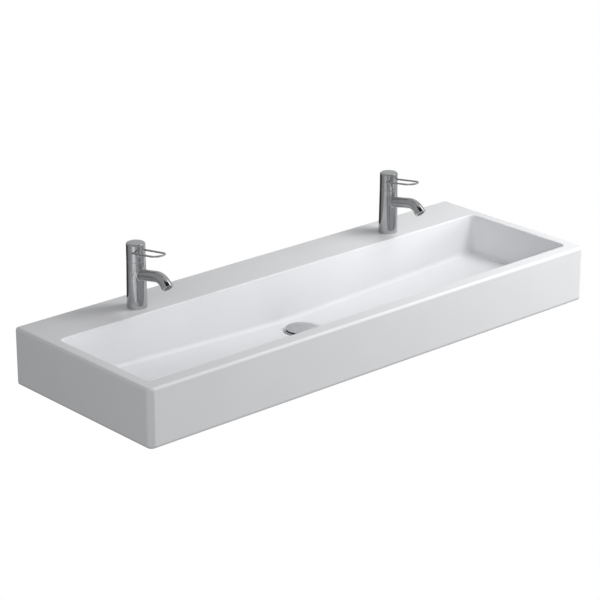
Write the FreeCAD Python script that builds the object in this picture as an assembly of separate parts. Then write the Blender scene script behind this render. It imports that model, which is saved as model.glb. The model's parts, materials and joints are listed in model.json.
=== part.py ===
"""A wall-hung double washbasin with two single-lever mixer taps and a push-open waste.

Millimetres. The origin lies on the wall plane, halfway along the width and halfway up
the ceramic. X runs along the width, Y points into the wall and Z points up.
Each tap is built about its own upright axis, with zero height on the deck and its
spout towards -Y, and is then moved to its hole.
"""
import FreeCAD, Part
import math
import os

V = FreeCAD.Vector
ORIGIN = V(0, 0, 0)
X_AXIS = V(1, 0, 0)
Y_AXIS = V(0, 1, 0)
Z_AXIS = V(0, 0, 1)
FULL_TURN = 360.0
HALF_TURN = 180.0
QUARTER_TURN = 90.0
HEXAGON_SIDES = 6
OVERRUN = 5.0

# Ceramic: overall
BASIN_WIDTH = 1200.0
BASIN_DEPTH = 421.0
BASIN_HEIGHT = 123.0
FRONT_CORNER_RADIUS = 14.0
TOP_EDGE_RADIUS = 6.0
BOTTOM_EDGE_RADIUS = 8.0

# Ceramic: bowl
SIDE_RIM = 26.0
FRONT_RIM = 33.0
DECK_DEPTH = 108.0
WALL_DRAFT = 1.5
BOWL_CORNER_RADIUS = 14.0
BOWL_FLOOR_RADIUS = 10.0
RIM_EDGE_RADIUS = 2.5
FLOOR_LOW = 13.0
FLOOR_FALL = 2.3
FLOOR_ROUND_HALF = 80.0

# Ceramic: underside
DECK_THICKNESS = 14.0
BACK_WALL = 14.0
END_WALL = 14.0
CAVITY_FRONT_WALL = 12.0
CAVITY_CORNER_RADIUS = 10.0
CAVITY_TOP_RADIUS = 6.0
FLOOR_THICKNESS = 11.0
FOOT_WIDTH = 20.0
RECESS_CORNER_RADIUS = 10.0

# Ceramic: holes for the taps, the waste and the wall bolts
TAP_SPACING = 700.0
TAP_SETBACK = 66.0
TAP_HOLE_RADIUS = 17.5
WALL_HOLE_RADIUS = 7.0
INNER_BOLT_SPACING = 280.0
OUTER_BOLT_SPACING = 880.0
DRAIN_SETBACK = 170.0
DRAIN_HOLE_RADIUS = 23.0
DRAIN_SEAT_DEPTH = 4.0
DRAIN_SEAT_CLEARANCE = 1.0
DRAIN_DISH_SPREAD = 6.0
DRAIN_LIP_RADIUS = 4.0
DRAIN_BOSS_RADIUS = 46.0

# Waste
FLANGE_RADIUS = 35.0
FLANGE_THICKNESS = 2.6
FLANGE_EDGE_RADIUS = 1.0
OUTLET_RADIUS = 20.95
OUTLET_BORE_RADIUS = 17.8
WASTE_LENGTH = 80.0
OUTLET_CHAMFER = 1.0
RELIEF_MARGIN = 1.0
RELIEF_WIDTH = 3.0
RELIEF_DEPTH = 0.8
UPPER_SEAL_THICKNESS = 1.2
UPPER_SEAL_MARGIN = 1.5
LOWER_SEAL_THICKNESS = 6.0
LOWER_SEAL_RADIUS = 30.0
LOWER_SEAL_NOSE = 2.0
WASTE_WASHER_THICKNESS = 1.5
WASTE_NUT_THICKNESS = 12.0
WASTE_NUT_WIDTH = 56.0
WASTE_RING_CLEARANCE = 0.3
THREAD_CLEARANCE = 0.1
SPIDER_DEPTH = 30.0
SPIDER_HEIGHT = 8.0
SPIDER_ARM = 2.6
SPIDER_ARMS = 3
HUB_RADIUS = 7.0

# Push-open plug
PLUG_RADIUS = 32.5
PLUG_RIM = 1.5
PLUG_RISE = 3.0
PLUG_TRAVEL = 8.0
PLUG_SEAL_OUTER = 27.0
PLUG_SEAL_INNER = 22.0
PLUG_SEAL_THICKNESS = 2.0
PLUG_SEAL_GAP = 0.3
PLUNGER_RADIUS = 3.0
PLUNGER_CLEARANCE = 0.06
PLUNGER_FOOT_GAP = 1.0
CLICK_RADIUS = 6.0
CLICK_GUIDE = 8.0
CLICK_STUD_RADIUS = 4.0
CLICK_STUD_LENGTH = 10.0
CLICK_FLOOR = 2.0

# Tap: body and spout
BODY_BASE_RADIUS = 21.0
SEAT_HEIGHT = 73.0
NUT_BORE_RADIUS = 16.0
NUT_SEAT_DROP = 1.0
SPOUT_RISE = 10.5
SPOUT_REACH = 65.0
SPOUT_RADIUS = 11.4
SPOUT_BORE_RADIUS = 6.5
SPOUT_BORE_WALL = 2.9
SPOUT_BEND_RADIUS = 34.0
SPOUT_TURN = 53.5
SPOUT_JOINT_RADIUS = 1.5
SPIGOT_RADIUS = 10.4
SPIGOT_LENGTH = 5.0
WATERWAY_X = 5.8
WATERWAY_Y = -1.0
WATERWAY_RADIUS = 2.0
OUTLET_PORT_Y = 5.5
OUTLET_PORT_RADIUS = 2.6
PASSAGE_DROP = 4.0
INLET_X = 8.0
INLET_RADIUS = 4.5
INLET_DEPTH = 14.0
GASKET_GROOVE_OUTER = 20.0
GASKET_GROOVE_INNER = 17.9
GASKET_GROOVE_DEPTH = 1.6
GASKET_CLEARANCE = 0.1

# Tap: aerator
AERATOR_RADIUS = 11.9
AERATOR_LENGTH = 9.0
AERATOR_EDGE = 0.8
AERATOR_LIP = 1.0
AERATOR_MOUTH_RADIUS = 9.0
AERATOR_SEAL_THICKNESS = 1.0
AERATOR_SEAL_WIDTH = 2.2
AERATOR_SEAM = 0.3
JET_RADIUS = 1.2
JET_CIRCLE_RADIUS = 5.5
JETS = 6

# Tap: ball joint between the body and the handle
CAP_RADIUS = 19.5
BALL_RISE = 18.0
SEAM_RISE = 8.0
BALL_GAP = 0.25
LEVER_SWING = 25.0
COVER_THICKNESS = 1.8
COVER_SKIRT = 1.6
COVER_OPENING_CLEARANCE = 0.6
COVER_FIT = 0.05

# Tap: cartridge
PORT_SEAL_THICKNESS = 1.5
FIXED_DISC_RADIUS = 12.0
FIXED_DISC_THICKNESS = 3.0
DISC_FIT = 0.05
HOUSING_RADIUS = 13.5
HOUSING_FIT = 0.1
HOUSING_NECK_RADIUS = 10.6
HOUSING_LENGTH = 21.0
HOUSING_NECK_LENGTH = 5.0
CHAMBER_CLEARANCE = 0.5
CHAMBER_GAP = 0.35
ROTOR_RADIUS = 9.5
ROTOR_CLEARANCE = 0.08
ROTOR_FOOT_GAP = 0.3
ROTOR_HEIGHT = 14.0
ROTOR_SLOT_CLEARANCE = 0.15
ROTOR_SWING_CLEARANCE = 1.3
MOVING_DISC_RADIUS = 8.4
MOVING_DISC_THICKNESS = 2.4
MIX_POCKET_RADIUS = 6.9
MIX_POCKET_DEPTH = 1.4
MIX_POCKET_EDGE = -0.4
CARRIER_THICKNESS = 4.0
CARRIER_TONGUE_HEIGHT = 1.8
CARRIER_TONGUE_LENGTH = 8.6
NUT_HEIGHT = 4.0
NUT_NECK_CLEARANCE = 0.2
NUT_SLOT_WIDTH = 3.0
NUT_SLOT_DEPTH = 2.0
NUT_SLOTS = 4
STEM_WIDTH = 7.0
STEM_LENGTH = 31.0
STEM_HEEL = 4.0
STEM_NECK_RADIUS = 1.6
STEM_BALL_RADIUS = 2.4
STEM_BALL_CLEARANCE = 0.1
STEM_BALL_FLOAT = 0.3
STEM_PIN_RADIUS = 1.5
STEM_PIN_CLEARANCE = 0.05
STEM_PIN_LENGTH = 17.0

# Tap: handle
CAP_HEIGHT = 38.0
CAP_DOME = 1.0
CAP_EDGE_RADIUS = 4.0
SOCKET_CLEARANCE = 0.05
SOCKET_END_CLEARANCE = 0.3
GRUB_HEIGHT = 26.0
GRUB_RADIUS = 2.5
GRUB_LENGTH = 8.0
GRUB_BORE_CLEARANCE = 0.05
COVER_PLUG_RADIUS = 3.5
COVER_PLUG_DEPTH = 3.0
LEVER_WIRE_RADIUS = 2.0
LEVER_HALF_WIDTH = 15.5
LEVER_REACH = 86.0
LEVER_TIP_RISE = 31.0
LEVER_SLOPE = 8.4
LEVER_ROOT = 2.0
LEVER_FIT = 0.03

# Tap: fixing below the deck
STUD_RADIUS = 4.0
STUD_Y = 12.5
STUD_DEPTH = 20.0
STUD_HOLE_EXTRA = 2.0
STUD_DROP = 45.0
STUD_CHAMFER = 0.8
STUD_CLEARANCE = 0.05
HORSESHOE_RADIUS = 25.0
HORSESHOE_SLOT_HALF = 16.0
HORSESHOE_SLOT_END = 6.0
HORSESHOE_CORNER_RADIUS = 8.0
HORSESHOE_STUD_RADIUS = 4.3
PAD_THICKNESS = 3.0
WASHER_THICKNESS = 2.0
STUD_NUT_WIDTH = 13.0
STUD_NUT_HEIGHT = 6.5

RIM_Z = BASIN_HEIGHT / 2
BASE_Z = -BASIN_HEIGHT / 2
BALL_HEIGHT = SEAT_HEIGHT + BALL_RISE
CAP_BASE_HEIGHT = BALL_HEIGHT + SEAM_RISE
BALL_CENTRE = V(0, 0, BALL_HEIGHT)
BALL_RADIUS = math.hypot(CAP_RADIUS, SEAM_RISE)
BODY_BALL_RADIUS = BALL_RADIUS - BALL_GAP
CARTRIDGE_BORE_RADIUS = HOUSING_RADIUS + HOUSING_FIT
SHOULDER_HEIGHT = SEAT_HEIGHT + HOUSING_LENGTH
SPOUT_ROOT_HEIGHT = SEAT_HEIGHT - PASSAGE_DROP
STEM_LEAN = LEVER_SWING / 2
FIXED_LOW = SEAT_HEIGHT + PORT_SEAL_THICKNESS
FIXED_HIGH = FIXED_LOW + FIXED_DISC_THICKNESS
MOVING_LOW = FIXED_HIGH + DISC_FIT
MOVING_HIGH = MOVING_LOW + MOVING_DISC_THICKNESS
CARRIER_HIGH = MOVING_HIGH + CARRIER_THICKNESS
CHAMBER_CEILING = CARRIER_HIGH + CHAMBER_GAP
ROTOR_LOW = CHAMBER_CEILING + ROTOR_FOOT_GAP
STEM_BALL_DROP = BALL_HEIGHT - MOVING_HIGH - STEM_BALL_RADIUS - STEM_BALL_FLOAT
DISC_SHIFT = STEM_BALL_DROP * math.sin(math.radians(STEM_LEAN))
CLICK_HEIGHT = PLUG_TRAVEL + CLICK_GUIDE


class Bend:
    """An arc step of an outline, through one point to the next."""

    def __init__(self, via, to):
        self.via = via
        self.to = to


def outline(start, *steps):
    """Face in the XZ plane from a start point and steps, each a point or a Bend."""
    edges = []
    first = V(start[0], 0, start[1])
    here = first
    for step in steps:
        if isinstance(step, Bend):
            there = V(step.to[0], 0, step.to[1])
            via = V(step.via[0], 0, step.via[1])
            edges.append(Part.Arc(here, via, there).toShape())
        else:
            there = V(step[0], 0, step[1])
            edges.append(Part.LineSegment(here, there).toShape())
        here = there
    edges.append(Part.LineSegment(here, first).toShape())
    return Part.Face(Part.Wire(edges))


def turned(start, *steps):
    """Solid turned about Z from an outline of radii and heights."""
    return outline(start, *steps).revolve(ORIGIN, Z_AXIS, FULL_TURN)


def rod(radius, low, high, x=0.0, y=0.0):
    """Upright cylinder between two heights."""
    return Part.makeCylinder(radius, high - low, V(x, y, low))


def ring(outer, inner, low, high):
    """Flat upright ring about Z."""
    return rod(outer, low, high).cut(rod(inner, low - OVERRUN, high + OVERRUN))


def block(x_low, x_high, y_low, y_high, z_low, z_high):
    """Box between its low and high sides."""
    return Part.makeBox(x_high - x_low, y_high - y_low, z_high - z_low, V(x_low, y_low, z_low))


def hexagon(width, low, high):
    """Hexagonal prism about Z, across flats."""
    corner = width / math.sqrt(3)
    points = []
    for turn in range(HEXAGON_SIDES):
        angle = math.radians(turn * FULL_TURN / HEXAGON_SIDES)
        points.append(V(corner * math.cos(angle), corner * math.sin(angle), low))
    return Part.Face(Part.makePolygon(points + points[:1])).extrude(V(0, 0, high - low))


def round_bar(radius, start, end):
    """Round bar between two points."""
    return Part.makeCylinder(radius, (end - start).Length, start, end - start)


def bent_bar(radius, start, heading, centre, axis, turn):
    """Round bar that starts at a point square to a heading and bends about an axis."""
    section = Part.Face(Part.Wire(Part.makeCircle(radius, start, heading)))
    return section.revolve(centre, axis, turn)


def around(shape, count):
    """Copies of a shape spaced evenly about Z, as a list."""
    copies = []
    for turn in range(count):
        copies.append(shape.rotated(ORIGIN, Z_AXIS, turn * FULL_TURN / count))
    return copies


def chosen_edges(shape, test):
    """Edges of a shape whose bounding box passes a test."""
    return [edge for edge in shape.Edges if test(edge.BoundBox)]


def upright(box):
    """True for the box of an edge that runs mostly along Z."""
    return box.ZLength > max(box.XLength, box.YLength)


def draft_shift(height):
    """Sideways shift of a drafted wall over a height."""
    return height * math.tan(math.radians(WALL_DRAFT))


def ball_height(radius, ball_radius):
    """Height on the ball joint's sphere at a radius from the tap's axis."""
    return BALL_HEIGHT + math.sqrt(ball_radius ** 2 - radius ** 2)


# Ceramic

def outer_block():
    """The ceramic's outside, with its rounded corners and edges."""
    half = BASIN_WIDTH / 2
    shape = block(-half, half, -BASIN_DEPTH, 0, BASE_Z, RIM_Z)
    corners = chosen_edges(shape, lambda b: upright(b) and b.YMax < -BASIN_DEPTH / 2)
    shape = shape.makeFillet(FRONT_CORNER_RADIUS, corners)
    top = chosen_edges(shape, lambda b: b.ZMin > 0 and b.YMin < -FRONT_CORNER_RADIUS / 2)
    shape = shape.makeFillet(TOP_EDGE_RADIUS, top)
    bottom = chosen_edges(shape, lambda b: b.ZMax < 0 and b.YMin < -FRONT_CORNER_RADIUS / 2)
    return shape.makeFillet(BOTTOM_EDGE_RADIUS, bottom)


def floor_line(half_length, drop):
    """Left end, arc start, arc middle, arc end and right end of the sloping floor."""
    fall = math.radians(FLOOR_FALL)
    middle = BASE_Z + FLOOR_LOW - drop
    shoulder = middle + FLOOR_ROUND_HALF * math.tan(fall / 2)
    end = shoulder + (half_length - FLOOR_ROUND_HALF) * math.tan(fall)
    return [
        (-half_length, end),
        (-FLOOR_ROUND_HALF, shoulder),
        (0, middle),
        (FLOOR_ROUND_HALF, shoulder),
        (half_length, end),
    ]


def bowl_space():
    """The bowl: drafted walls, a floor that falls to the middle, rounded inside."""
    top = RIM_Z + OVERRUN
    half = BASIN_WIDTH / 2 - SIDE_RIM
    foot = half - draft_shift(BASIN_HEIGHT - FLOOR_LOW)
    mouth = half + draft_shift(OVERRUN)
    left, rise, middle, fall, right = floor_line(foot, 0)
    along = outline((-mouth, top), left, rise, Bend(middle, fall), right, (mouth, top))
    along = along.extrude(V(0, -BASIN_DEPTH, 0))
    back = -DECK_DEPTH
    front = FRONT_RIM - BASIN_DEPTH
    shift = draft_shift(BASIN_HEIGHT)
    over = draft_shift(OVERRUN)
    across = outline(
        (front - over, top), (front + shift, BASE_Z), (back - shift, BASE_Z), (back + over, top)
    )
    across = across.extrude(V(0, BASIN_WIDTH, 0)).rotated(ORIGIN, Z_AXIS, QUARTER_TURN)
    across.translate(V(BASIN_WIDTH / 2, 0, 0))
    space = along.common(across)
    space = space.makeFillet(BOWL_CORNER_RADIUS, chosen_edges(space, upright))
    edge_of_floor = chosen_edges(space, lambda b: is_floor_edge(b, foot, front, back))
    return space.makeFillet(BOWL_FLOOR_RADIUS, edge_of_floor)


def is_floor_edge(box, foot, front, back):
    """True for an edge where the bowl's floor meets a wall or a corner."""
    low = box.ZMax < 0
    crossing = box.XLength < BOWL_CORNER_RADIUS / 2 and box.Center.x ** 2 < (foot / 2) ** 2
    spans = box.YLength > (back - front) / 2
    return low and not (crossing and spans) and not upright(box)


def deck_cavity():
    """The space under the deck, open below."""
    half = BASIN_WIDTH / 2 - END_WALL
    front = -DECK_DEPTH + CAVITY_FRONT_WALL
    top = RIM_Z - DECK_THICKNESS
    space = block(-half, half, front, -BACK_WALL, BASE_Z - OVERRUN, top)
    space = space.makeFillet(CAVITY_CORNER_RADIUS, chosen_edges(space, upright))
    ceiling = chosen_edges(space, lambda b: b.ZMin > 0)
    return space.makeFillet(CAVITY_TOP_RADIUS, ceiling)


def underside_recess():
    """The shallow recess under the sloping floor, with a flat boss left at the waste."""
    half = BASIN_WIDTH / 2 - FOOT_WIDTH
    left, rise, middle, fall, right = floor_line(half, FLOOR_THICKNESS)
    low = BASE_Z - OVERRUN
    face = outline((-half, low), left, rise, Bend(middle, fall), right, (half, low))
    back = -DECK_DEPTH - CAVITY_FRONT_WALL
    front = FOOT_WIDTH - BASIN_DEPTH
    face.translate(V(0, back, 0))
    space = face.extrude(V(0, front - back, 0))
    space = space.makeFillet(RECESS_CORNER_RADIUS, chosen_edges(space, upright))
    return space.cut(rod(DRAIN_BOSS_RADIUS, low - OVERRUN, 0, 0, -DRAIN_SETBACK))


def drain_space():
    """The dished seat for the waste flange and the hole below it."""
    floor = BASE_Z + FLOOR_LOW
    seat = floor - DRAIN_SEAT_DEPTH
    seat_radius = FLANGE_RADIUS + DRAIN_SEAT_CLEARANCE
    spread = DRAIN_DISH_SPREAD / DRAIN_SEAT_DEPTH
    high = floor + OVERRUN
    dish = turned(
        (0, high),
        (seat_radius + spread * (high - seat), high),
        (seat_radius, seat),
        (DRAIN_HOLE_RADIUS, seat),
        (DRAIN_HOLE_RADIUS, BASE_Z - OVERRUN),
        (0, BASE_Z - OVERRUN),
    )
    return dish.translated(V(0, -DRAIN_SETBACK, 0))


def is_drain_lip(box):
    """True for the edge where the bowl's floor turns down to the waste."""
    floor = BASE_Z + FLOOR_LOW
    limit = FLANGE_RADIUS + 2 * DRAIN_DISH_SPREAD
    return (
        box.ZMin > floor - DRAIN_SEAT_CLEARANCE
        and box.ZMax < floor + DRAIN_SEAT_CLEARANCE
        and box.XMax < limit
        and box.XMin > -limit
        and box.YLength > FLANGE_RADIUS
    )


def wall_holes():
    """The four holes for the wall bolts, through the back wall."""
    holes = []
    for spacing in (INNER_BOLT_SPACING, OUTER_BOLT_SPACING):
        for side in (-1, 1):
            start = V(side * spacing / 2, -BACK_WALL - OVERRUN, 0)
            length = BACK_WALL + 2 * OVERRUN
            holes.append(Part.makeCylinder(WALL_HOLE_RADIUS, length, start, Y_AXIS))
    return holes


def tap_holes():
    """The two tap holes through the deck."""
    holes = []
    low = RIM_Z - DECK_THICKNESS - OVERRUN
    for side in (-1, 1):
        holes.append(rod(TAP_HOLE_RADIUS, low, RIM_Z + OVERRUN, side * TAP_SPACING / 2, -TAP_SETBACK))
    return holes


def basin_ceramic():
    """The one-piece glazed ceramic."""
    shape = outer_block().cut(bowl_space())
    inside = SIDE_RIM / 2 - BASIN_WIDTH / 2
    rim = chosen_edges(
        shape,
        lambda b: b.ZMin > RIM_Z - RIM_EDGE_RADIUS / 2
        and b.XMin > inside
        and b.XMax < -inside
        and b.YMax < -DECK_DEPTH / 2
        and b.YMin > FRONT_RIM / 2 - BASIN_DEPTH,
    )
    shape = shape.makeFillet(RIM_EDGE_RADIUS, rim).cut(drain_space())
    shape = shape.makeFillet(DRAIN_LIP_RADIUS, chosen_edges(shape, is_drain_lip))
    return shape.cut([deck_cavity(), underside_recess()] + wall_holes() + tap_holes())


# Waste

def waste_levels():
    """Heights of the waste: its seat, the flange's underside and the flange's top."""
    seat = BASE_Z + FLOOR_LOW - DRAIN_SEAT_DEPTH
    flange_low = seat + UPPER_SEAL_THICKNESS
    return seat, flange_low, flange_low + FLANGE_THICKNESS


def waste_nut_low():
    """Height of the lock nut's underside."""
    return BASE_Z - LOWER_SEAL_THICKNESS - WASTE_WASHER_THICKNESS - WASTE_NUT_THICKNESS


def waste_body():
    """The flange with its threaded tube and the spider that carries the click unit."""
    seat, low, high = waste_levels()
    foot = high - WASTE_LENGTH
    bevel = OUTLET_CHAMFER
    relief_high = waste_nut_low() - RELIEF_MARGIN
    relief_low = relief_high - RELIEF_WIDTH
    shell = turned(
        (OUTLET_BORE_RADIUS, high - bevel),
        (OUTLET_BORE_RADIUS + bevel, high),
        (FLANGE_RADIUS, high),
        (FLANGE_RADIUS, low),
        (OUTLET_RADIUS, low),
        (OUTLET_RADIUS, relief_high),
        (OUTLET_RADIUS - RELIEF_DEPTH, relief_high),
        (OUTLET_RADIUS - RELIEF_DEPTH, relief_low),
        (OUTLET_RADIUS, relief_low),
        (OUTLET_RADIUS, foot + bevel),
        (OUTLET_RADIUS - bevel, foot),
        (OUTLET_BORE_RADIUS, foot),
    )
    rim = chosen_edges(shell, lambda b: b.ZMin > low + bevel and b.XMax > FLANGE_RADIUS - bevel)
    shell = shell.makeFillet(FLANGE_EDGE_RADIUS, rim)
    top = high - SPIDER_DEPTH
    bottom = top - SPIDER_HEIGHT
    reach = (OUTLET_BORE_RADIUS + OUTLET_RADIUS) / 2
    arm = block(-SPIDER_ARM / 2, SPIDER_ARM / 2, -reach, 0, bottom, top)
    body = shell.fuse([rod(HUB_RADIUS, bottom, top)] + around(arm, SPIDER_ARMS))
    stud_bore = rod(CLICK_STUD_RADIUS + THREAD_CLEARANCE, bottom - OVERRUN, top + OVERRUN)
    return body.cut(stud_bore).removeSplitter()


def waste_rings():
    """The seals, the slip washer and the lock nut about the waste tube."""
    seat, low, high = waste_levels()
    inner = OUTLET_RADIUS + WASTE_RING_CLEARANCE
    seal_low = BASE_Z - LOWER_SEAL_THICKNESS
    washer_low = seal_low - WASTE_WASHER_THICKNESS
    nut_low = waste_nut_low()
    lower_seal = turned(
        (inner, seal_low),
        (LOWER_SEAL_RADIUS, seal_low),
        (LOWER_SEAL_RADIUS, BASE_Z - LOWER_SEAL_NOSE),
        (LOWER_SEAL_RADIUS - LOWER_SEAL_NOSE, BASE_Z),
        (inner, BASE_Z),
    )
    nut = hexagon(WASTE_NUT_WIDTH, nut_low, washer_low)
    nut = nut.cut(rod(OUTLET_RADIUS + THREAD_CLEARANCE, nut_low - OVERRUN, washer_low + OVERRUN))
    return {
        "waste_upper_seal": ring(FLANGE_RADIUS - UPPER_SEAL_MARGIN, inner, seat, low),
        "waste_lower_seal": lower_seal,
        "waste_slip_washer": ring(LOWER_SEAL_RADIUS, inner, washer_low, seal_low),
        "waste_lock_nut": nut,
    }


def plug_parts():
    """The domed plug with its seal and plunger, and the fixed click unit."""
    seat, low, high = waste_levels()
    hub_top = high - SPIDER_DEPTH
    seal_low = high + PLUG_SEAL_GAP
    under = seal_low + PLUG_SEAL_THICKNESS
    rim = under + PLUG_RIM
    crown = rim + PLUG_RISE
    dome_radius = (PLUG_RADIUS ** 2 + PLUG_RISE ** 2) / (2 * PLUG_RISE)
    half_angle = math.asin(PLUG_RADIUS / dome_radius) / 2
    via = (dome_radius * math.sin(half_angle), crown - dome_radius * (1 - math.cos(half_angle)))
    cap = turned((0, under), (PLUG_RADIUS, under), (PLUG_RADIUS, rim), Bend(via, (0, crown)))
    click_top = hub_top + CLICK_HEIGHT
    bore = PLUNGER_RADIUS + PLUNGER_CLEARANCE
    bore_floor = hub_top - CLICK_STUD_LENGTH + CLICK_FLOOR
    click = turned(
        (bore, click_top),
        (CLICK_RADIUS, click_top),
        (CLICK_RADIUS, hub_top),
        (CLICK_STUD_RADIUS, hub_top),
        (CLICK_STUD_RADIUS, hub_top - CLICK_STUD_LENGTH),
        (0, hub_top - CLICK_STUD_LENGTH),
        (0, bore_floor),
        (bore, bore_floor),
    )
    return {
        "plug_dome": cap,
        "plug_seal": ring(PLUG_SEAL_OUTER, PLUG_SEAL_INNER, seal_low, under),
        "plug_plunger": rod(PLUNGER_RADIUS, bore_floor + PLUNGER_FOOT_GAP, under),
        "plug_click_unit": click,
    }


def waste_parts():
    """Every piece of the waste at its place under the bowl."""
    parts = {"waste_body": waste_body()}
    parts.update(waste_rings())
    parts.update(plug_parts())
    return {name: shape.translated(V(0, -DRAIN_SETBACK, 0)) for name, shape in parts.items()}


# Tap: body and spout

def heading_at(angle):
    """Direction of the spout's centre line at an angle above the level."""
    return V(0, -math.cos(angle), math.sin(angle))


def spout_points():
    """Start of the spout's bend, its centre, its end and the heading at the end."""
    rise = math.radians(SPOUT_RISE)
    left = rise - math.radians(SPOUT_TURN)
    bend = V(0, -SPOUT_REACH, SPOUT_ROOT_HEIGHT + SPOUT_REACH * math.tan(rise))
    centre = bend - V(0, math.sin(rise), math.cos(rise)) * SPOUT_BEND_RADIUS
    end = centre + V(0, math.sin(left), math.cos(left)) * SPOUT_BEND_RADIUS
    return bend, centre, end, heading_at(left)


def pipe(radius, start_reach):
    """Round bar that follows the spout's centre line from a distance before the axis."""
    rise = math.radians(SPOUT_RISE)
    bend, centre, end, heading = spout_points()
    start = V(0, -start_reach, SPOUT_ROOT_HEIGHT + start_reach * math.tan(rise))
    curve = bent_bar(radius, bend, heading_at(rise), centre, X_AXIS, SPOUT_TURN)
    return round_bar(radius, start, bend).fuse(curve)


def at_spout_end(shape):
    """Moves a shape built along +Z from the origin to the spout's end."""
    bend, centre, end, heading = spout_points()
    placed = shape.copy()
    placed.Placement = FreeCAD.Placement(end, FreeCAD.Rotation(Z_AXIS, heading))
    return placed


def body_blank():
    """The tap's upright body before its holes: a slim cone under a ball-shaped end."""
    top = ball_height(0, BODY_BALL_RADIUS)
    lip = ball_height(CAP_RADIUS, BODY_BALL_RADIUS)
    via = (CAP_RADIUS / 2, ball_height(CAP_RADIUS / 2, BODY_BALL_RADIUS))
    return turned((0, 0), (BODY_BASE_RADIUS, 0), (CAP_RADIUS, lip), Bend(via, (0, top)))


def cartridge_bore():
    """The stepped bore that takes the cartridge, its nut and the ball cover."""
    top = ball_height(0, BODY_BALL_RADIUS) + OVERRUN
    ledge = SHOULDER_HEIGHT - NUT_SEAT_DROP
    return turned(
        (0, top),
        (NUT_BORE_RADIUS, top),
        (NUT_BORE_RADIUS, ledge),
        (CARTRIDGE_BORE_RADIUS, ledge),
        (CARTRIDGE_BORE_RADIUS, SEAT_HEIGHT),
        (0, SEAT_HEIGHT),
    )


def spout_hollow():
    """The spout's bore, through its end, and the passage from the outlet port into it."""
    bore_start = CARTRIDGE_BORE_RADIUS + SPOUT_BORE_WALL
    port = rod(OUTLET_PORT_RADIUS, SPOUT_ROOT_HEIGHT, SEAT_HEIGHT + OVERRUN, 0, OUTLET_PORT_Y)
    length = OUTLET_PORT_Y + bore_start + OUTLET_PORT_RADIUS
    passage = V(0, OUTLET_PORT_Y, SPOUT_ROOT_HEIGHT)
    across = Part.makeCylinder(OUTLET_PORT_RADIUS, length, passage, -Y_AXIS)
    mouth = at_spout_end(rod(SPOUT_BORE_RADIUS, 0, 2 * SPIGOT_LENGTH))
    return [pipe(SPOUT_BORE_RADIUS, bore_start), mouth, port, across]


def base_holes():
    """The inlets with their waterways, the stud hole and the groove for the gasket."""
    holes = []
    for side in (-1, 1):
        waterway = rod(WATERWAY_RADIUS, INLET_DEPTH / 2, SEAT_HEIGHT + OVERRUN, side * WATERWAY_X, WATERWAY_Y)
        holes.append(waterway)
        holes.append(rod(INLET_RADIUS, -OVERRUN, INLET_DEPTH, side * INLET_X, WATERWAY_Y))
    stud_hole = rod(STUD_RADIUS + STUD_CLEARANCE, -OVERRUN, STUD_DEPTH + STUD_HOLE_EXTRA, 0, STUD_Y)
    groove = ring(GASKET_GROOVE_OUTER, GASKET_GROOVE_INNER, -OVERRUN, GASKET_GROOVE_DEPTH)
    return holes + [stud_hole, groove]


def is_spout_joint(box):
    """True for the edge where the spout leaves the body."""
    in_front = box.YMax < 0 and box.YMin > -BODY_BASE_RADIUS
    return in_front and box.XLength > SPOUT_RADIUS


def tap_body():
    """The cast body with its bent spout and the spigot for the aerator."""
    shape = body_blank().fuse(pipe(SPOUT_RADIUS, 0))
    shape = shape.makeFillet(SPOUT_JOINT_RADIUS, chosen_edges(shape, is_spout_joint))
    shape = shape.fuse(at_spout_end(rod(SPIGOT_RADIUS, 0, SPIGOT_LENGTH)))
    return shape.cut([cartridge_bore()] + spout_hollow() + base_holes())


def aerator_parts():
    """The aerator's chromed shell, its seal and its jet insert."""
    inner = SPIGOT_RADIUS + THREAD_CLEARANCE
    shell = turned(
        (inner, AERATOR_SEAM),
        (AERATOR_RADIUS, AERATOR_SEAM),
        (AERATOR_RADIUS, AERATOR_LENGTH - AERATOR_EDGE),
        (AERATOR_RADIUS - AERATOR_EDGE, AERATOR_LENGTH),
        (AERATOR_MOUTH_RADIUS, AERATOR_LENGTH),
        (AERATOR_MOUTH_RADIUS, AERATOR_LENGTH - AERATOR_LIP),
        (inner, AERATOR_LENGTH - AERATOR_LIP),
    )
    seal_top = SPIGOT_LENGTH + AERATOR_SEAL_THICKNESS
    seal = ring(SPIGOT_RADIUS, SPIGOT_RADIUS - AERATOR_SEAL_WIDTH, SPIGOT_LENGTH, seal_top)
    insert = rod(SPIGOT_RADIUS, seal_top, AERATOR_LENGTH - AERATOR_LIP)
    jet = rod(JET_RADIUS, 0, AERATOR_LENGTH, JET_CIRCLE_RADIUS)
    insert = insert.cut(around(jet, JETS) + [rod(JET_RADIUS, 0, AERATOR_LENGTH)])
    return {
        "aerator_shell": at_spout_end(shell),
        "aerator_seal": at_spout_end(seal),
        "aerator_insert": at_spout_end(insert),
    }


# Tap: fixing below the deck

def horseshoe(low, high):
    """Open plate that passes the supply hoses and the stud."""
    half = HORSESHOE_SLOT_HALF
    slot = block(-half, half, -2 * HORSESHOE_RADIUS, HORSESHOE_SLOT_END, low - OVERRUN, high + OVERRUN)
    inner = chosen_edges(slot, lambda b: upright(b) and b.YMin > 0)
    slot = slot.makeFillet(HORSESHOE_CORNER_RADIUS, inner)
    stud = rod(HORSESHOE_STUD_RADIUS, low - OVERRUN, high + OVERRUN, 0, STUD_Y)
    return rod(HORSESHOE_RADIUS, low, high).cut([slot, stud])


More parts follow.
